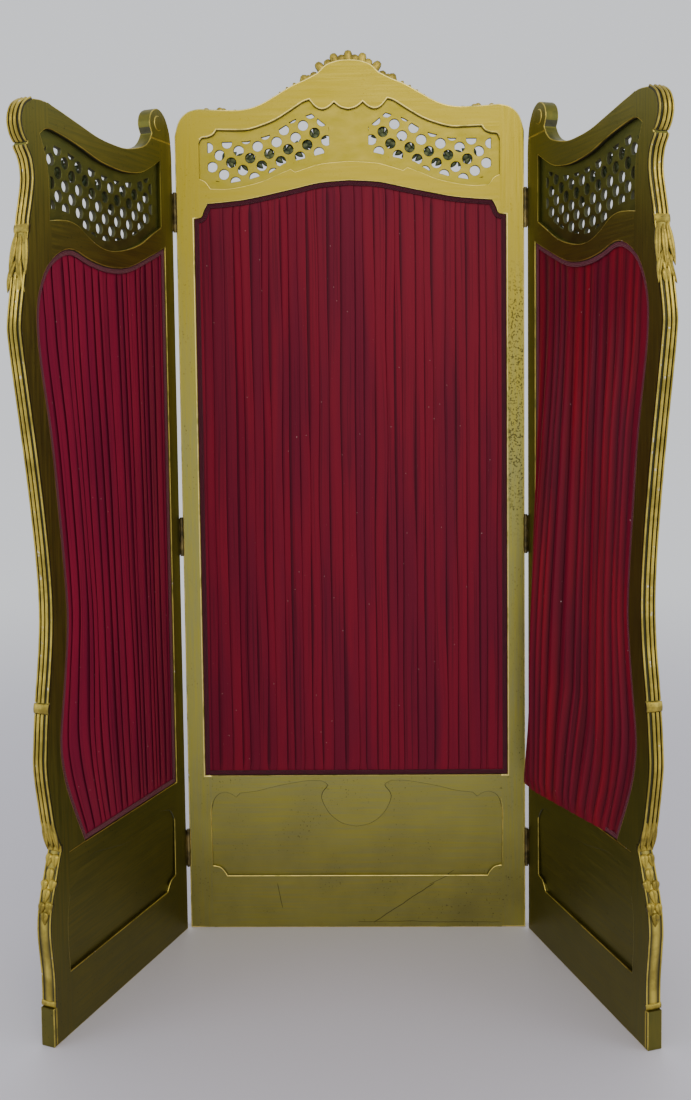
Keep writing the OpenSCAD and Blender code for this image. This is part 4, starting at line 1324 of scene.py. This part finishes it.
# %% Sprays on the shoulders
# place across, lean in degrees and length of the upright leaves of one spray
SPRAY = ((0.238, -30, 0.022), (0.252, 12, 0.026), (0.268, -14, 0.029), (0.284, 22, 0.026),
         (0.296, 42, 0.020))
sprays = []
for way in (-1, 1):
    for x, angle, length in SPRAY:
        sunk = length * 0.55
        tall = length / 0.029 * 0.0115
        sprays.append(fan_leaf(way * x, crest_height(x) - sunk, way * angle, sunk + tall, 0.015, 0.0080,
                               widest=0.68, blunt=0.45))
    sprays.append(fan_leaf(way * 0.230, 1.6780, way * 88, 0.075, 0.014, 0.0065, widest=0.5, veins=3))
    sprays.append(fan_leaf(way * 0.262, 1.6800, way * 104, 0.040, 0.016, 0.0080, widest=0.4))
finished_carving(sprays, "shoulder_sprays", "centre_panel", ["shoulder_leaves"])

# %% [markdown]
# Behind every pierced board hangs a garland of buds and leaves, seen as dark green shapes through
# the holes. One bud and two side leaves are repeated along a drawn line, each a few millimetres
# into the next, so the string has no gaps.

# %% Garlands behind the pierced boards
def garland(leaf, mid, name, node, sides=(1,)):
    """Buds and leaves in turn along a line of (across, up) points behind a pierced board."""
    board_back = row_to_flat(leaf, points_of(NODES[PREFIX[leaf] + "pierced_board"]))[:, 1].max()
    depth_way = depth_of(leaf)
    parts = []
    for way in sides:
        line = resampled(np.array(mid) * MM * (way, 1), 0.0135)
        for k in range(len(line) - 1):
            run = line[k + 1] - line[k]
            place = flat_to_row(leaf, [(line[k][0], board_back - 0.0005, line[k][1])])[0]
            origin = flat_to_row(leaf, [(0, 0, 0)])[0]
            for lean, length, width, thick in ((0, 0.022, 0.018, 0.0100), (1.3, 0.022, 0.012, 0.0065),
                                               (-1.3, 0.022, 0.012, 0.0065)):
                step = (run[0] - lean * run[1], run[1] + lean * run[0])
                along = flat_to_row(leaf, [(step[0], 0, step[1])])[0] - origin
                parts.append(carved_leaf("bud", place, along, depth_way, length, width, thick,
                                         widest=0.45 if lean else 0.38))
    finished_carving(parts, name, leaf, [node])


garland("centre_panel", [(258, 1604), (236, 1600), (208, 1594), (180, 1598), (150, 1606), (120, 1613),
                         (94, 1622), (74, 1638), (56, 1655)], "centre_garland_carving", "centre_garlands",
        sides=(1, -1))
for side in ("left", "right"):
    garland(side + "_wing", [(394, 1470), (372, 1508), (350, 1520), (300, 1519), (262, 1507), (225, 1490),
                             (190, 1486), (150, 1496), (110, 1514), (72, 1538)],
            side + "_garland_carving", side + "_garland")

# %% [markdown]
# The hinges are stamped brass that has gone nearly black, rubbed a little brighter in patches.
# Their CAD shapes are right as they are, so they only get a finish. The pegs are painted over with
# the frame.

# %% Hinges and pegs
brass = Finish("tarnished_brass")
bloom = brass.noise(brass.place(), 90, 4, 0.6)
rubbed = brass.noise(brass.place(), 22, 3, 0.6)
tone = brass.mix(brass.ramp(bloom, 0.35, 0.65), (0.055, 0.045, 0.022, 1), (0.16, 0.125, 0.050, 1))
tone = brass.mix(brass.times(brass.ramp(rubbed, 0.55, 0.7), 0.6), tone, (0.40, 0.31, 0.12, 1))
brass.set(Base_Color=tone, Metallic=0.9)
brass.set(Roughness=brass.plus(brass.times(bloom, 0.4), 0.28))
brass.set(Normal=brass.bump(bloom, 0.3, 0.0004))
for name, node in NODES.items():
    leaf = next((key for key in LEAVES if name.startswith(PREFIX[key])), "centre_panel")
    if "hinge_" in name and "stile" not in name:
        painted(node, brass.material)
    if "pegs" in name:
        painted(node, PAINT[leaf, "across"])
print("hinges and pegs finished")
